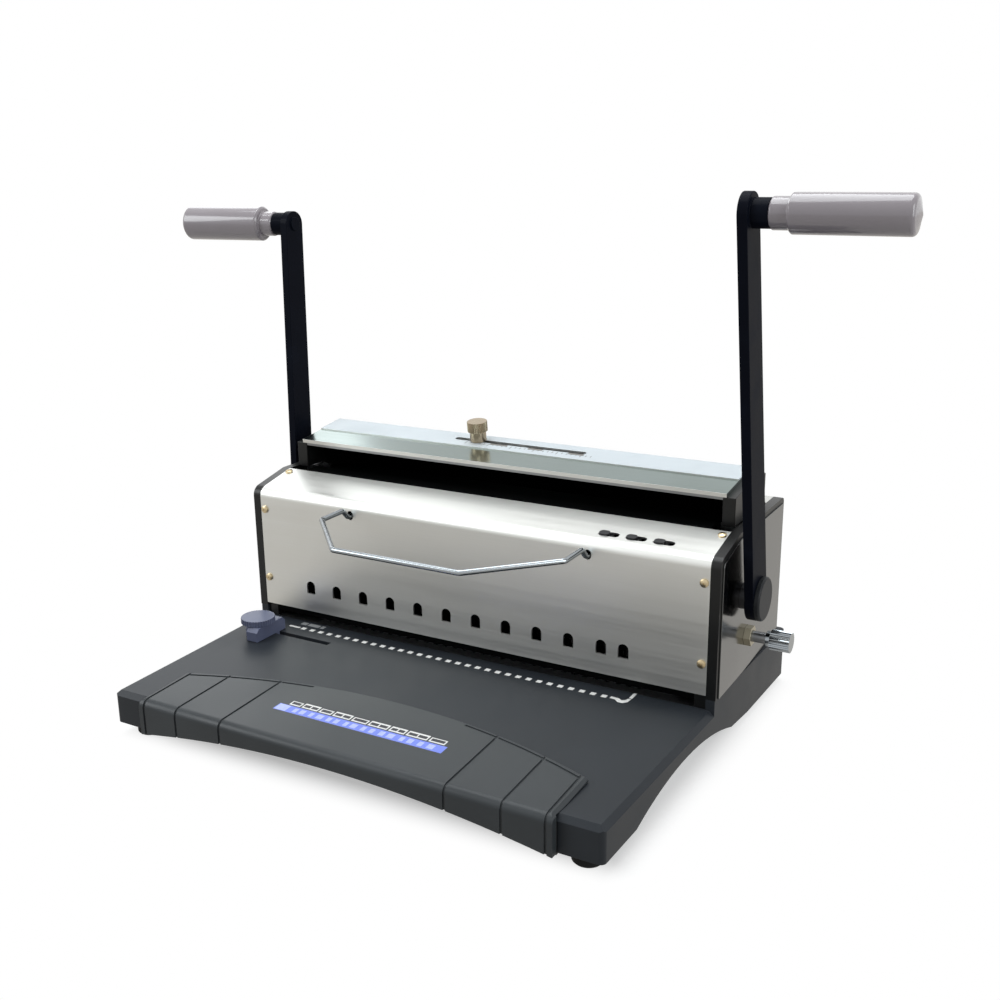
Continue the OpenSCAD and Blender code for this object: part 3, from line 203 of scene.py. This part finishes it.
# %% [markdown]
# ## Paint on steel
# The side frames and the levers are steel plate with sprayed black enamel, the bars under the head are a
# dull black, and the sheet on the head is sprayed pale grey. A plain glossy black would look like wet
# plastic. Spray paint keeps a faint orange peel, so a soft noise some millimetres across goes into the
# bump, and a clear coat gives the second, sharper reflection that enamel has over its pigment.

# %% Paints
PEEL_PER_MM = 0.35
RUBS_PER_MM = 0.03


def sprayed_paint(name, colour, worn, rough, shine, index=1.5):
    made, shader, place = surface(name)
    peel = noise(place, PEEL_PER_MM, 2)
    rub = noise(place, RUBS_PER_MM, 4).between(0.45, 0.8)
    set_shader(shader, Base_Color=rub.blend(colour, worn), Roughness=rough + rub * 0.1,
               Normal=bump(peel, 0.25, 0.08), Specular_IOR_Level=shine, IOR=index,
               Coat_Weight=shine * 0.4, Coat_Roughness=0.12)
    finishes[name] = made


sprayed_paint("frame_paint", rgb(15, 16, 16), rgb(22, 24, 24), rough=0.36, shine=0.25)
sprayed_paint("lever_paint", rgb(12, 15, 24), rgb(18, 22, 32), rough=0.45, shine=0.07, index=1.25)
sprayed_paint("cap_paint", rgb(36, 38, 41), rgb(45, 47, 50), rough=0.5, shine=0.15)
# The same dull black is also painted shade on the inner faces of the covers.
sprayed_paint("bar_paint_and_inner_shade", rgb(5, 6, 6), rgb(8, 9, 9), rough=0.6, shine=0.05, index=1.2)
sprayed_paint("pale_sheet", rgb(206, 214, 219), rgb(198, 206, 211), rough=0.42, shine=0.2)
print(len(finishes), "finishes with the paints")

# %% [markdown]
# ## Brushed and plated metal
# The covers are stainless sheet brushed along the machine. An anisotropic shader could stretch their
# highlights, but it needs tangents on every piece. Long thin noise cells along X do the same job: they
# vary the roughness and tilt the normal a little. Broader streaks on the covers stand for the uneven
# pressure of the brush. Chrome has almost no roughness of its own, only fine wiping marks, and brass gets
# its tarnish from a slow noise.

# %% Metals
EVEN = (1, 1, 1)
ALONG_X = (0.012, 1, 1)
ALONG_Y = (1, 0.02, 1)
ALONG_Z = (1, 1, 0.1)
STREAKS = (0.003, 1, 1)
STREAKS_PER_MM = 0.22
CLOUDS_PER_MM = 0.012


def brushed_metal(name, colour, tarnish, rough, lines_per_mm, stretch, depth, streak=0.0):
    made, shader, place = surface(name)
    lines = noise(place, lines_per_mm, 4, stretch)
    clouds = noise(place, CLOUDS_PER_MM, 3).between(0.3, 0.8)
    matt = rough - 0.07 + lines * 0.14 + clouds * 0.04
    if streak:
        matt = matt + (noise(place, STREAKS_PER_MM, 3, STREAKS) - 0.5) * streak
    set_shader(shader, Base_Color=(clouds * 0.6 + lines * 0.4).blend(colour, tarnish), Metallic=1.0,
               Roughness=matt, Normal=bump(lines, 0.3, depth))
    finishes[name] = made


# The same steel is also a painted highlight on the front edges of the head.
brushed_metal("cover_steel_and_edge_highlight", rgb(213, 214, 211), rgb(203, 203, 199),
              rough=0.36, lines_per_mm=2.2, stretch=ALONG_X, depth=0.012, streak=0.2)
brushed_metal("panel_steel", rgb(118, 119, 119), rgb(108, 109, 110),
              rough=0.13, lines_per_mm=1.6, stretch=ALONG_Y, depth=0.004)
brushed_metal("machined_steel", rgb(150, 152, 154), rgb(128, 130, 132),
              rough=0.32, lines_per_mm=1.5, stretch=EVEN, depth=0.012)
brushed_metal("tool_steel", rgb(66, 66, 68), rgb(52, 52, 54),
              rough=0.34, lines_per_mm=1.5, stretch=ALONG_Z, depth=0.01)
brushed_metal("head_steel", rgb(141, 154, 152), rgb(129, 141, 137),
              rough=0.16, lines_per_mm=0.8, stretch=ALONG_X, depth=0.004)
brushed_metal("chrome_plate", rgb(158, 164, 168), rgb(146, 152, 157),
              rough=0.1, lines_per_mm=0.8, stretch=ALONG_X, depth=0.002)
brushed_metal("screw_brass", rgb(206, 190, 156), rgb(176, 158, 124),
              rough=0.3, lines_per_mm=1.5, stretch=EVEN, depth=0.01)
brushed_metal("nut_brass", rgb(182, 176, 156), rgb(158, 151, 130),
              rough=0.3, lines_per_mm=1.5, stretch=EVEN, depth=0.01)
brushed_metal("knob_bronze", rgb(196, 182, 158), rgb(150, 134, 112),
              rough=0.26, lines_per_mm=1.5, stretch=EVEN, depth=0.01)
print(len(finishes), "finishes with the metals")

# %% [markdown]
# ## Softened edges
# No real edge is a knife edge: moulded plastic has a small radius, sheet metal a deburred one, and that
# thin rounded line is what catches the light. A Bevel node could fake it in the shader, but then the
# outline stays sharp. The CAD mesh has to stay as it is, so each piece is copied, its flat triangles are
# merged back into faces, and a bevel is applied to every crease.

# %% Bevelled copies of the CAD pieces
CREASE = math.radians(32)
FLAT = math.radians(0.6)
WELD = 2e-6
BEVEL_SEGMENTS = 2


def flattened(node):
    """Copy of a CAD node's mesh, with whole faces for its triangles and its creases marked sharp."""
    mesh = bpy.data.meshes.new(node + "_softened")
    form = bmesh.new()
    form.from_mesh(frame["nodes"][node].data)
    bmesh.ops.remove_doubles(form, verts=form.verts, dist=WELD)
    bmesh.ops.dissolve_limit(form, angle_limit=FLAT, verts=form.verts, edges=form.edges)
    for face in form.faces:
        face.smooth = True
    for edge in form.edges:
        edge.smooth = len(edge.link_faces) == 2 and edge.calc_face_angle(0) < CREASE
    form.to_mesh(mesh)
    form.free()
    return mesh


def softened(node, radius_mm, finish):
    """A piece that stands for a CAD node, on the same body, with rounded edges and the given finish."""
    piece = bpy.data.objects.new(node + "_softened", flattened(node))
    bpy.context.collection.objects.link(piece)
    edge_round = piece.modifiers.new("edge_round", "BEVEL")
    edge_round.width = radius_mm * MM
    edge_round.segments = BEVEL_SEGMENTS
    edge_round.limit_method = "ANGLE"
    edge_round.angle_limit = CREASE
    edge_round.harden_normals = True
    bpy.context.view_layer.update()
    graph = bpy.context.evaluated_depsgraph_get()
    piece.data = bpy.data.meshes.new_from_object(piece.evaluated_get(graph))
    piece.modifiers.clear()
    piece.data.materials.clear()
    piece.data.materials.append(finishes[finish])
    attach(piece, body_of[node])
    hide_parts(node)
    return piece


print("edges of more than", round(math.degrees(CREASE)), "degrees are rounded")

# %% [markdown]
# ## Which pieces are softened
# The pieces whose edges show get a rounded copy, with the radius in millimetres that its way of making
# leaves: a moulded tray more than a millimetre, a cut plate half of that, thin sheet the least. One
# radius for all would make the sheet look cast. Each row also names the finish.

# %% Softened pieces
SOFT_EDGES = {
    "base_tray": (1.6, "tray_plastic"), "drawer_front": (0.4, "apron_plastic"),
    "left_end_frame": (0.5, "frame_paint"), "right_end_frame": (0.5, "frame_paint"),
    "left_side_panel": (0.25, "panel_steel"), "right_side_panel": (0.25, "panel_steel"),
    "front_cover": (0.3, "cover_steel_and_edge_highlight"), "rear_cover": (0.3, "cover_steel_and_edge_highlight"),
    "closer_top_plate": (0.5, "head_steel"), "scale_sheet": (0.25, "pale_sheet"),
    "closer_hood": (0.4, "bar_paint_and_inner_shade"), "closer_ears": (0.6, "frame_paint"),
    "closer_bar": (0.5, "bar_paint_and_inner_shade"), "closer_anvil": (0.3, "machined_steel"),
    "punch_arm": (0.9, "lever_paint"), "closer_arm": (0.9, "lever_paint"),
    "punch_pivot_cap": (0.5, "cap_paint"), "closer_pivot_cap": (0.5, "cap_paint"),
    "punch_grip": (0.5, "grip_plastic"), "closer_grip": (0.5, "grip_plastic"),
    "edge_guide": (0.6, "guide_plastic"), "pin_release_1": (0.3, "tab_plastic"),
    "pin_release_2": (0.3, "tab_plastic"), "pin_release_3": (0.3, "tab_plastic"),
    "rubber_feet": (0.3, "foot_rubber"), "spindle_nut": (0.3, "nut_brass"),
}
pieces = {node: softened(node, radius, finish) for node, (radius, finish) in SOFT_EDGES.items()}
print(len(pieces), "pieces with softened edges")

# %% [markdown]
# ## Painted shade inside the covers
# The covers are bright only outside. Their inner faces get the dull black of the bars as painted shade,
# which is why the mouth and the windows look black. A second, smaller shell inside could carry the
# painted shade, but sheet has two sides of its own: each face that looks inward gets the second finish.

# %% Inner faces in painted shade
INNER = 0.4


def second_finish(node, finish, wanted):
    """Gives one more finish to those faces of a softened piece whose normal is wanted."""
    mesh = pieces[node].data
    mesh.materials.append(finishes[finish])
    for face in mesh.polygons:
        face.material_index = int(wanted(face.normal))
    print(node, "has", sum(face.material_index for face in mesh.polygons), "faces in", finish)


# Faces that look inward get the dull black: painted shade for the dark inside of the covers.
INWARD = {"front_cover": Vector((0, 1, -0.5)), "rear_cover": Vector((0, -1, -0.5))}
for node, inward in INWARD.items():
    second_finish(node, "bar_paint_and_inner_shade", lambda normal: normal.dot(inward) > INNER)

# %% [markdown]
# ## Painted highlight on the edges of the head
# Along the front edge of the plate and of the sheet on it, where the wire slides in under them, a thin
# bright line of light shows. That highlight is painted: only the faces that look to the front get the
# lighter steel, and the rest keeps its own finish. A thin bright strip could be laid on, but it would stand
# proud.

# %% Front edges, painted highlight
TO_THE_FRONT = -0.6
for node in ("closer_top_plate", "scale_sheet"):
    second_finish(node, "cover_steel_and_edge_highlight", lambda normal: normal.y < TO_THE_FRONT)

# %% [markdown]
# ## The pieces that keep their CAD mesh
# Gears, pins, shafts and the knurled knobs already have the edges that they should have, so a copy would
# add nothing and they only get a finish. Most of them work inside the body and show through the throat
# and the windows. The finish follows from the slot in the record; only the thumbscrew is bronze.

# %% Finishes on the other CAD pieces
PLAIN_FINISH = {
    "black_plastic": "tray_plastic", "black_steel": "bar_paint_and_inner_shade", "chrome_plate": "chrome_plate",
    "machined_steel": "machined_steel", "dark_steel": "tool_steel", "brass_fittings": "screw_brass",
    "guide_plastic": "guide_plastic",
}
plain = [node for node in frame["nodes"] if node not in SOFT_EDGES]
for node in plain:
    materials = frame["nodes"][node].data.materials
    materials.clear()
    materials.append(finishes[PLAIN_FINISH[slot_of[node]]])
frame["nodes"]["selector_thumbscrew"].data.materials[0] = finishes["knob_bronze"]
print(len(plain), "pieces keep their mesh")

# %% [markdown]
# ## Ink
# Marks and scales are silk-screened: an even film of matt ink that wears thin in spots. An image on the
# surface would blur close up. Here each colour is a finish of its own, with a noise that fades it here
# and there.

# %% Inks
WEAR_PER_MM = 0.6


def screen_ink(name, colour, faded):
    made, shader, place = surface(name)
    wear = noise(place, WEAR_PER_MM, 3).between(0.4, 0.75)
    set_shader(shader, Base_Color=wear.blend(colour, faded), Roughness=0.45 + wear * 0.15,
               Normal=bump(wear, 0.2, 0.01))
    finishes[name] = made


screen_ink("white_ink", rgb(232, 232, 230), rgb(214, 214, 212))
screen_ink("grey_ink", rgb(150, 152, 154), rgb(138, 140, 142))
screen_ink("blue_ink", rgb(118, 136, 232), rgb(130, 148, 236))
screen_ink("pale_blue_ink", rgb(186, 196, 246), rgb(176, 186, 240))
screen_ink("dark_ink", rgb(34, 36, 42), rgb(46, 48, 54))
screen_ink("scale_ink", rgb(112, 108, 104), rgb(126, 122, 118))
print(len(finishes), "finishes with the inks")

# %% [markdown]
# ## Flat plates
# A film of ink has a thickness, a twentieth of a millimetre here, so a mark can be a very thin closed
# plate on the surface. A decal in the material would need UVs and an image; a plate stays sharp at any
# distance. The same helper makes thicker plates, as cut from a strip of rubber.

# %% Plates from outlines
FILM = 0.05


def plates(name, node, finish, outlines, lift, low=0.0, thick=FILM):
    """One piece on a node's body: outlines in mm, made thick upwards from z = low, then placed by lift."""
    form = bmesh.new()
    for outline in outlines:
        under = [form.verts.new(Vector((x, y, low)) * MM) for x, y in outline]
        over = [form.verts.new(Vector((x, y, low + thick)) * MM) for x, y in outline]
        form.faces.new(under[::-1])
        form.faces.new(over)
        for i in range(len(outline)):
            j = (i + 1) % len(outline)
            form.faces.new((under[i], under[j], over[j], over[i]))
    form.transform(lift)
    mesh = bpy.data.meshes.new(name)
    form.to_mesh(mesh)
    form.free()
    piece = bpy.data.objects.new(name, mesh)
    bpy.context.collection.objects.link(piece)
    mesh.materials.append(finishes[finish])
    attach(piece, body_of[node])
    return piece


def strip(x0, y0, x1, y1):
    return [(x0, y0), (x1, y0), (x1, y1), (x0, y1)]


print("a film of ink is", FILM, "mm thick")

# %% [markdown]
# ## Marks on the tray
# The tray carries a white mark for each hole of the sheet, three to the inch, so that the paper's edge
# can be lined up with the pins. The marks could be typed in one by one, but the pitch of the punch gives
# them all. In place of the first square a line runs to the edge guide, a hooked tick stands for the last,
# and small grey blocks stand for the legend.

# %% Tray marks
TRAY_TOP = Matrix.Translation((0, 0, 34 * MM))
PITCH = 8.467
FIRST_MARK = -142.7
MARKS = 32
HALF_MARK = 2
LEGEND_ROW = (6.2, 10.8)
centres = [FIRST_MARK + i * PITCH for i in range(MARKS)]
marks = [strip(x - HALF_MARK, -HALF_MARK, x + HALF_MARK, HALF_MARK) for x in centres]
hook = [(124.3, 2), (130.5, 1.4), (133, -0.4), (135.3, 1), (136.2, 4), (138.4, 4), (137.8, -1),
        (135.4, -4.2), (131.6, -4.2), (128.4, -1.2), (124.3, -1)]
legend = [strip(x0, LEGEND_ROW[0], x1, LEGEND_ROW[1])
          for x0, x1 in ((-151, -145.5), (-144, -133.5), (-131.8, -128.5))]
plates("hole_marks", "base_tray", "white_ink", marks, TRAY_TOP)
plates("edge_line", "base_tray", "white_ink", [strip(-157, -1.2, -146.5, 1.2)], TRAY_TOP)
plates("end_tick", "base_tray", "white_ink", [hook, strip(136.2, 5, 138.6, 14)], TRAY_TOP)
plates("edge_legend", "base_tray", "grey_ink", legend, TRAY_TOP)
print(len(marks), "hole marks")

# %% [markdown]
# ## Chart on the apron
# The apron has a setting chart: a row of white boxes with dark windows above a blue band with pale marks.
# It is a generic rule, with nothing to read. Each layer lies one film higher than the one below it,
# because two plates in one plane would flicker.

# %% Apron chart
APRON_RISE = math.atan2(3.0, 72.5)
APRON_TOP = Matrix.Translation((0, -154 * MM, 36 * MM)) @ Matrix.Rotation(APRON_RISE, 4, "X")
BAND_MARKS = ((-53, 3.2), (-47.5, 4), (-39.5, 3), (-33.5, 5), (-25, 3.4), (-19, 3.5), (-11, 3), (-5.5, 4.5),
              (3, 3.2), (9.5, 3.5), (17, 4), (23.5, 5), (33, 3.2), (39, 4), (47, 3.5), (54, 5))
MARK_ROW = (27.6, 32.6)
cells = [strip(-66.8, 26.5, -57.8, 33.8)]
cells += [strip(x, MARK_ROW[0], x + width, MARK_ROW[1]) for x, width in BAND_MARKS]

BOXES = ((9, 1), (13, 2), (10, 1), (14, 2), (12, 1), (15, 2), (12, 2), (16, 2), (12, 1))
BOX_START, BOX_GAP, BOX_RIM = -61.0, 1.4, 1.0
BOX_FOOT, BOX_HEAD, TALL_BOX_HEAD = 35.4, 40.6, 41.4
WINDOW_ROW = (36.7, 39.7)
boxes, windows = [], []
left = BOX_START
for width, panes in BOXES:
    boxes.append(strip(left, BOX_FOOT, left + width, TALL_BOX_HEAD if panes > 1 else BOX_HEAD))
    pane = (width - BOX_RIM) / panes
    windows += [strip(left + BOX_RIM + pane * i, WINDOW_ROW[0], left + pane * (i + 1), WINDOW_ROW[1])
                for i in range(panes)]
    left += width + BOX_GAP

plates("chart_band", "drawer_front", "blue_ink", [strip(-67.5, 26, 66.5, 34.3)], APRON_TOP)
plates("chart_cells", "drawer_front", "pale_blue_ink", cells, APRON_TOP, FILM)
plates("chart_boxes", "drawer_front", "white_ink", boxes, APRON_TOP)
plates("chart_windows", "drawer_front", "dark_ink", windows, APRON_TOP, FILM)
print(len(boxes), "chart boxes,", len(cells), "pale marks")

# %% [markdown]
# ## Scale on the head
# The sheet on the head has a plain scale next to the selector's slot, a tick every four millimetres and a
# longer one at every fifth. The sheet slopes up to the back, so the ticks are drawn flat and tilted with
# it: working out each corner on the slope would give the same marks with more to get wrong.

# %% Head scale
HEAD_SLOPE = math.radians(7.3)
HEAD = Matrix.Translation((0, 60 * MM, 172.6 * MM)) @ Matrix.Rotation(HEAD_SLOPE, 4, "X")
SHEET_TOP = HEAD @ Matrix.Translation((0, 0, 1.0 * MM))
TICKS, TICK_STEP, TICK_WIDTH = 28, 4, 0.8
FIRST_TICK, TICK_TOP = -44, 34.6
SHORT_TICK, LONG_TICK, LONG_EVERY = 2.6, 4.4, 5
BAR_ROW = (33.4, 36.2)
head_ticks = []
for i in range(TICKS):
    x = FIRST_TICK + TICK_STEP * i
    length = SHORT_TICK if i % LONG_EVERY else LONG_TICK
    head_ticks.append(strip(x, TICK_TOP - length, x + TICK_WIDTH, TICK_TOP))
bars = [strip(x0, BAR_ROW[0], x1, BAR_ROW[1]) for x0, x1 in ((-23, -8), (10.5, 23), (45, 58))]
plates("head_scale", "scale_sheet", "grey_ink", head_ticks, SHEET_TOP)
plates("head_bars", "scale_sheet", "scale_ink", bars, SHEET_TOP, FILM)
print(len(head_ticks), "head ticks")

# %% [markdown]
# ## Dark lips behind the apron
# A dark rubber lip stands behind each end of the apron and shuts the narrow gap beside it: a dark piece
# put there as painted shade, so that the gap looks shaded. A wider apron would close the gap too, but then
# the drawer would rub. The lip is a plate cut from a thick strip, rounded at its free edge.

# %% Dark lips in the apron's gaps, painted shade
LIP = ((155, 0), (160.3, 0), (160.3, 2.6), (159.6, 3.4), (157, 3.8), (155, 3.4))
LIP_LOW, LIP_HIGH = 8.5, 29.5
BEHIND_APRON = Matrix.Translation((0, -154.3 * MM, 0))
right_lip = list(LIP)
left_lip = [(-x, y) for x, y in LIP[::-1]]
gap_shade_lips = plates("drawer_gap_shade_lips", "drawer_front", "foot_rubber", [right_lip, left_lip], BEHIND_APRON,
                 LIP_LOW, LIP_HIGH - LIP_LOW)
print("two buffers,", LIP_HIGH - LIP_LOW, "mm tall")

# %% [markdown]
# ## Camera
# The camera stands to the right of the machine, a little above it and about 90 cm away. It could be aimed
# by eye, but a few degrees change the whole outline. Its place and its turn come from fitting the known
# pitch of the hole marks instead.

# %% Camera
FOCAL_MM, SENSOR_MM = 42.44, 36
CAMERA_PLACE = (0.42625, -0.68505, 0.39262)
CAMERA_TURN = (73.8588, 0.6329, 29.3184)
lens = bpy.data.cameras.new("camera")
lens.lens, lens.sensor_width = FOCAL_MM, SENSOR_MM
camera = bpy.data.objects.new("camera", lens)
camera.location = CAMERA_PLACE
camera.rotation_euler = [math.radians(angle) for angle in CAMERA_TURN]
bpy.context.collection.objects.link(camera)
bpy.context.scene.camera = camera
print("camera at", [round(v, 3) for v in camera.location])

# %% [markdown]
# ## Floor
# A product stands on white paper. Plain white paper under these lamps would come out grey, and more light
# would burn out the pale steel. So the paper takes the shadow close to the machine and glows plain white
# further out, and no horizon shows. Mirrored in metal it is a little warm, and the light that bounces off
# it is kept low, which leaves the undersides dark.

# %% Floor
WHITE = (1, 1, 1, 1)
WARM = (1, 0.965, 0.91, 1)
FLOOR_SIZE, FLOOR_LEVEL = 12, -0.0005
SHADOW_HALF_X, SHADOW_HALF_Y, SHADOW_MIDDLE_Y = 0.185, 0.14, 0.01
SHADOW_FADE = (-0.01, 0.03)
SHADOW_LIFT, MIRRORED_LEVEL = 0.3, 0.72
TOOTH_PER_MM = 0.05


def mixed(factor, first, second):
    """Shader that goes from first to second as factor goes from 0 to 1."""
    return factor.node("MixShader", None, {0: factor, 1: first, 2: second})


def glowing(place, colour, strength):
    return place.node("Emission", None, {"Color": colour, "Strength": strength})


def white_floor():
    made, shader, place = surface("floor_paper")
    tree = made.node_tree
    tooth = noise(place, TOOTH_PER_MM, 3)
    set_shader(shader, Base_Color=tooth.blend(rgb(238, 238, 238), rgb(242, 242, 242)), Roughness=0.9,
               Specular_IOR_Level=0.1)
    lit = Flow(tree, shader.outputs[0])
    paper = place.node("AddShader", None, {0: lit, 1: glowing(place, WHITE, SHADOW_LIFT)})
    x = place.node("SeparateXYZ", None, {"Vector": place}, out="X")
    y = place.node("SeparateXYZ", None, {"Vector": place}, out="Y")
    beside = place.maths("MAXIMUM", place.maths("ABSOLUTE", x) - SHADOW_HALF_X, 0.0)
    ahead = place.maths("MAXIMUM", place.maths("ABSOLUTE", y - SHADOW_MIDDLE_Y) - SHADOW_HALF_Y, 0.0)
    away = place.maths("SQRT", beside * beside + ahead * ahead).between(*SHADOW_FADE)
    shown = mixed(away, paper, glowing(place, WHITE, 1.0))
    dim = place.node("BsdfDiffuse", None, {"Color": rgb(150, 150, 150)})
    mirror_ray = place.node("LightPath", out="Is Glossy Ray")
    unseen = mixed(mirror_ray, dim, glowing(place, WARM, MIRRORED_LEVEL))
    final = mixed(place.node("LightPath", out="Is Camera Ray"), unseen, shown)
    tree.links.new(final.socket, tree.nodes["Material Output"].inputs["Surface"])
    return made


bpy.ops.mesh.primitive_plane_add(size=FLOOR_SIZE, location=(0, 0, FLOOR_LEVEL))
floor = bpy.context.object
floor.name = "floor"
floor.data.materials.append(white_floor())
print("floor of", tuple(round(v) for v in floor.dimensions[:2]), "m")

# %% [markdown]
# ## Lamps
# Metal shows what stands around it, so the lamps are also its reflections. Small lamps would leave hot
# spots; large soft boxes leave broad bright bands, as in a studio. One hangs overhead and lights the
# slope of the cover, one on the left front models the plastic, a weaker one on the right lifts the side,
# and a tall one at the left rear is there for the plate of the head, which mirrors it.

# %% Lamps
LAMP_COLOUR = (0.95, 0.985, 1)


def soft_box(name, place, aim, width, height, power):
    lamp = bpy.data.lights.new(name, "AREA")
    lamp.shape = "RECTANGLE"
    lamp.size, lamp.size_y, lamp.energy = width, height, power
    lamp.color = LAMP_COLOUR
    holder = bpy.data.objects.new(name, lamp)
    holder.location = place
    holder.rotation_euler = (Vector(aim) - Vector(place)).to_track_quat("-Z", "Y").to_euler()
    bpy.context.collection.objects.link(holder)


soft_box("overhead_box", (-0.25, 0.2, 1.9), aim=(0, 0, 0.1), width=1.6, height=1.2, power=24)
soft_box("rear_box", (-1.62, 1.3, 1.4), aim=(0, 0.05, 0.15), width=0.85, height=1.3, power=5)
soft_box("left_box", (-1.5, -1.2, 1.1), aim=(0, 0, 0.12), width=1.0, height=1.0, power=16)
soft_box("right_box", (1.7, -0.3, 0.8), aim=(0, 0, 0.25), width=0.8, height=1.2, power=12)

# %% [markdown]
# ## Sky
# The background is white paper too, and metal has to mirror it as white. A white sky that also lights the
# scene would wash out every shadow, so the strength depends on the ray: full for what is seen, mirrored
# or looked through, and low for the light that falls on matt surfaces.

# %% Sky
SKY_LIGHT = 0.3
world = bpy.data.worlds.new("studio")
bpy.context.scene.world = world
world.use_nodes = True
sky = Flow(world.node_tree)
seen, mirrored, through = (sky.node("LightPath", out="Is %s Ray" % kind)
                           for kind in ("Camera", "Glossy", "Transmission"))
direct = sky.maths("MAXIMUM", sky.maths("MAXIMUM", seen, mirrored), through)
background = world.node_tree.nodes["Background"]
background.inputs["Color"].default_value = WHITE
strength = SKY_LIGHT + direct * (1 - SKY_LIGHT)
world.node_tree.links.new(strength.socket, background.inputs["Strength"])
bpy.context.scene.view_settings.view_transform = "Standard"
print("sky at", SKY_LIGHT, "on matt surfaces")

# %% [markdown]
# ## End
# A finish must not change the size of the machine. The last cell only marks the end of the scene.

# %% End
print("scene done")
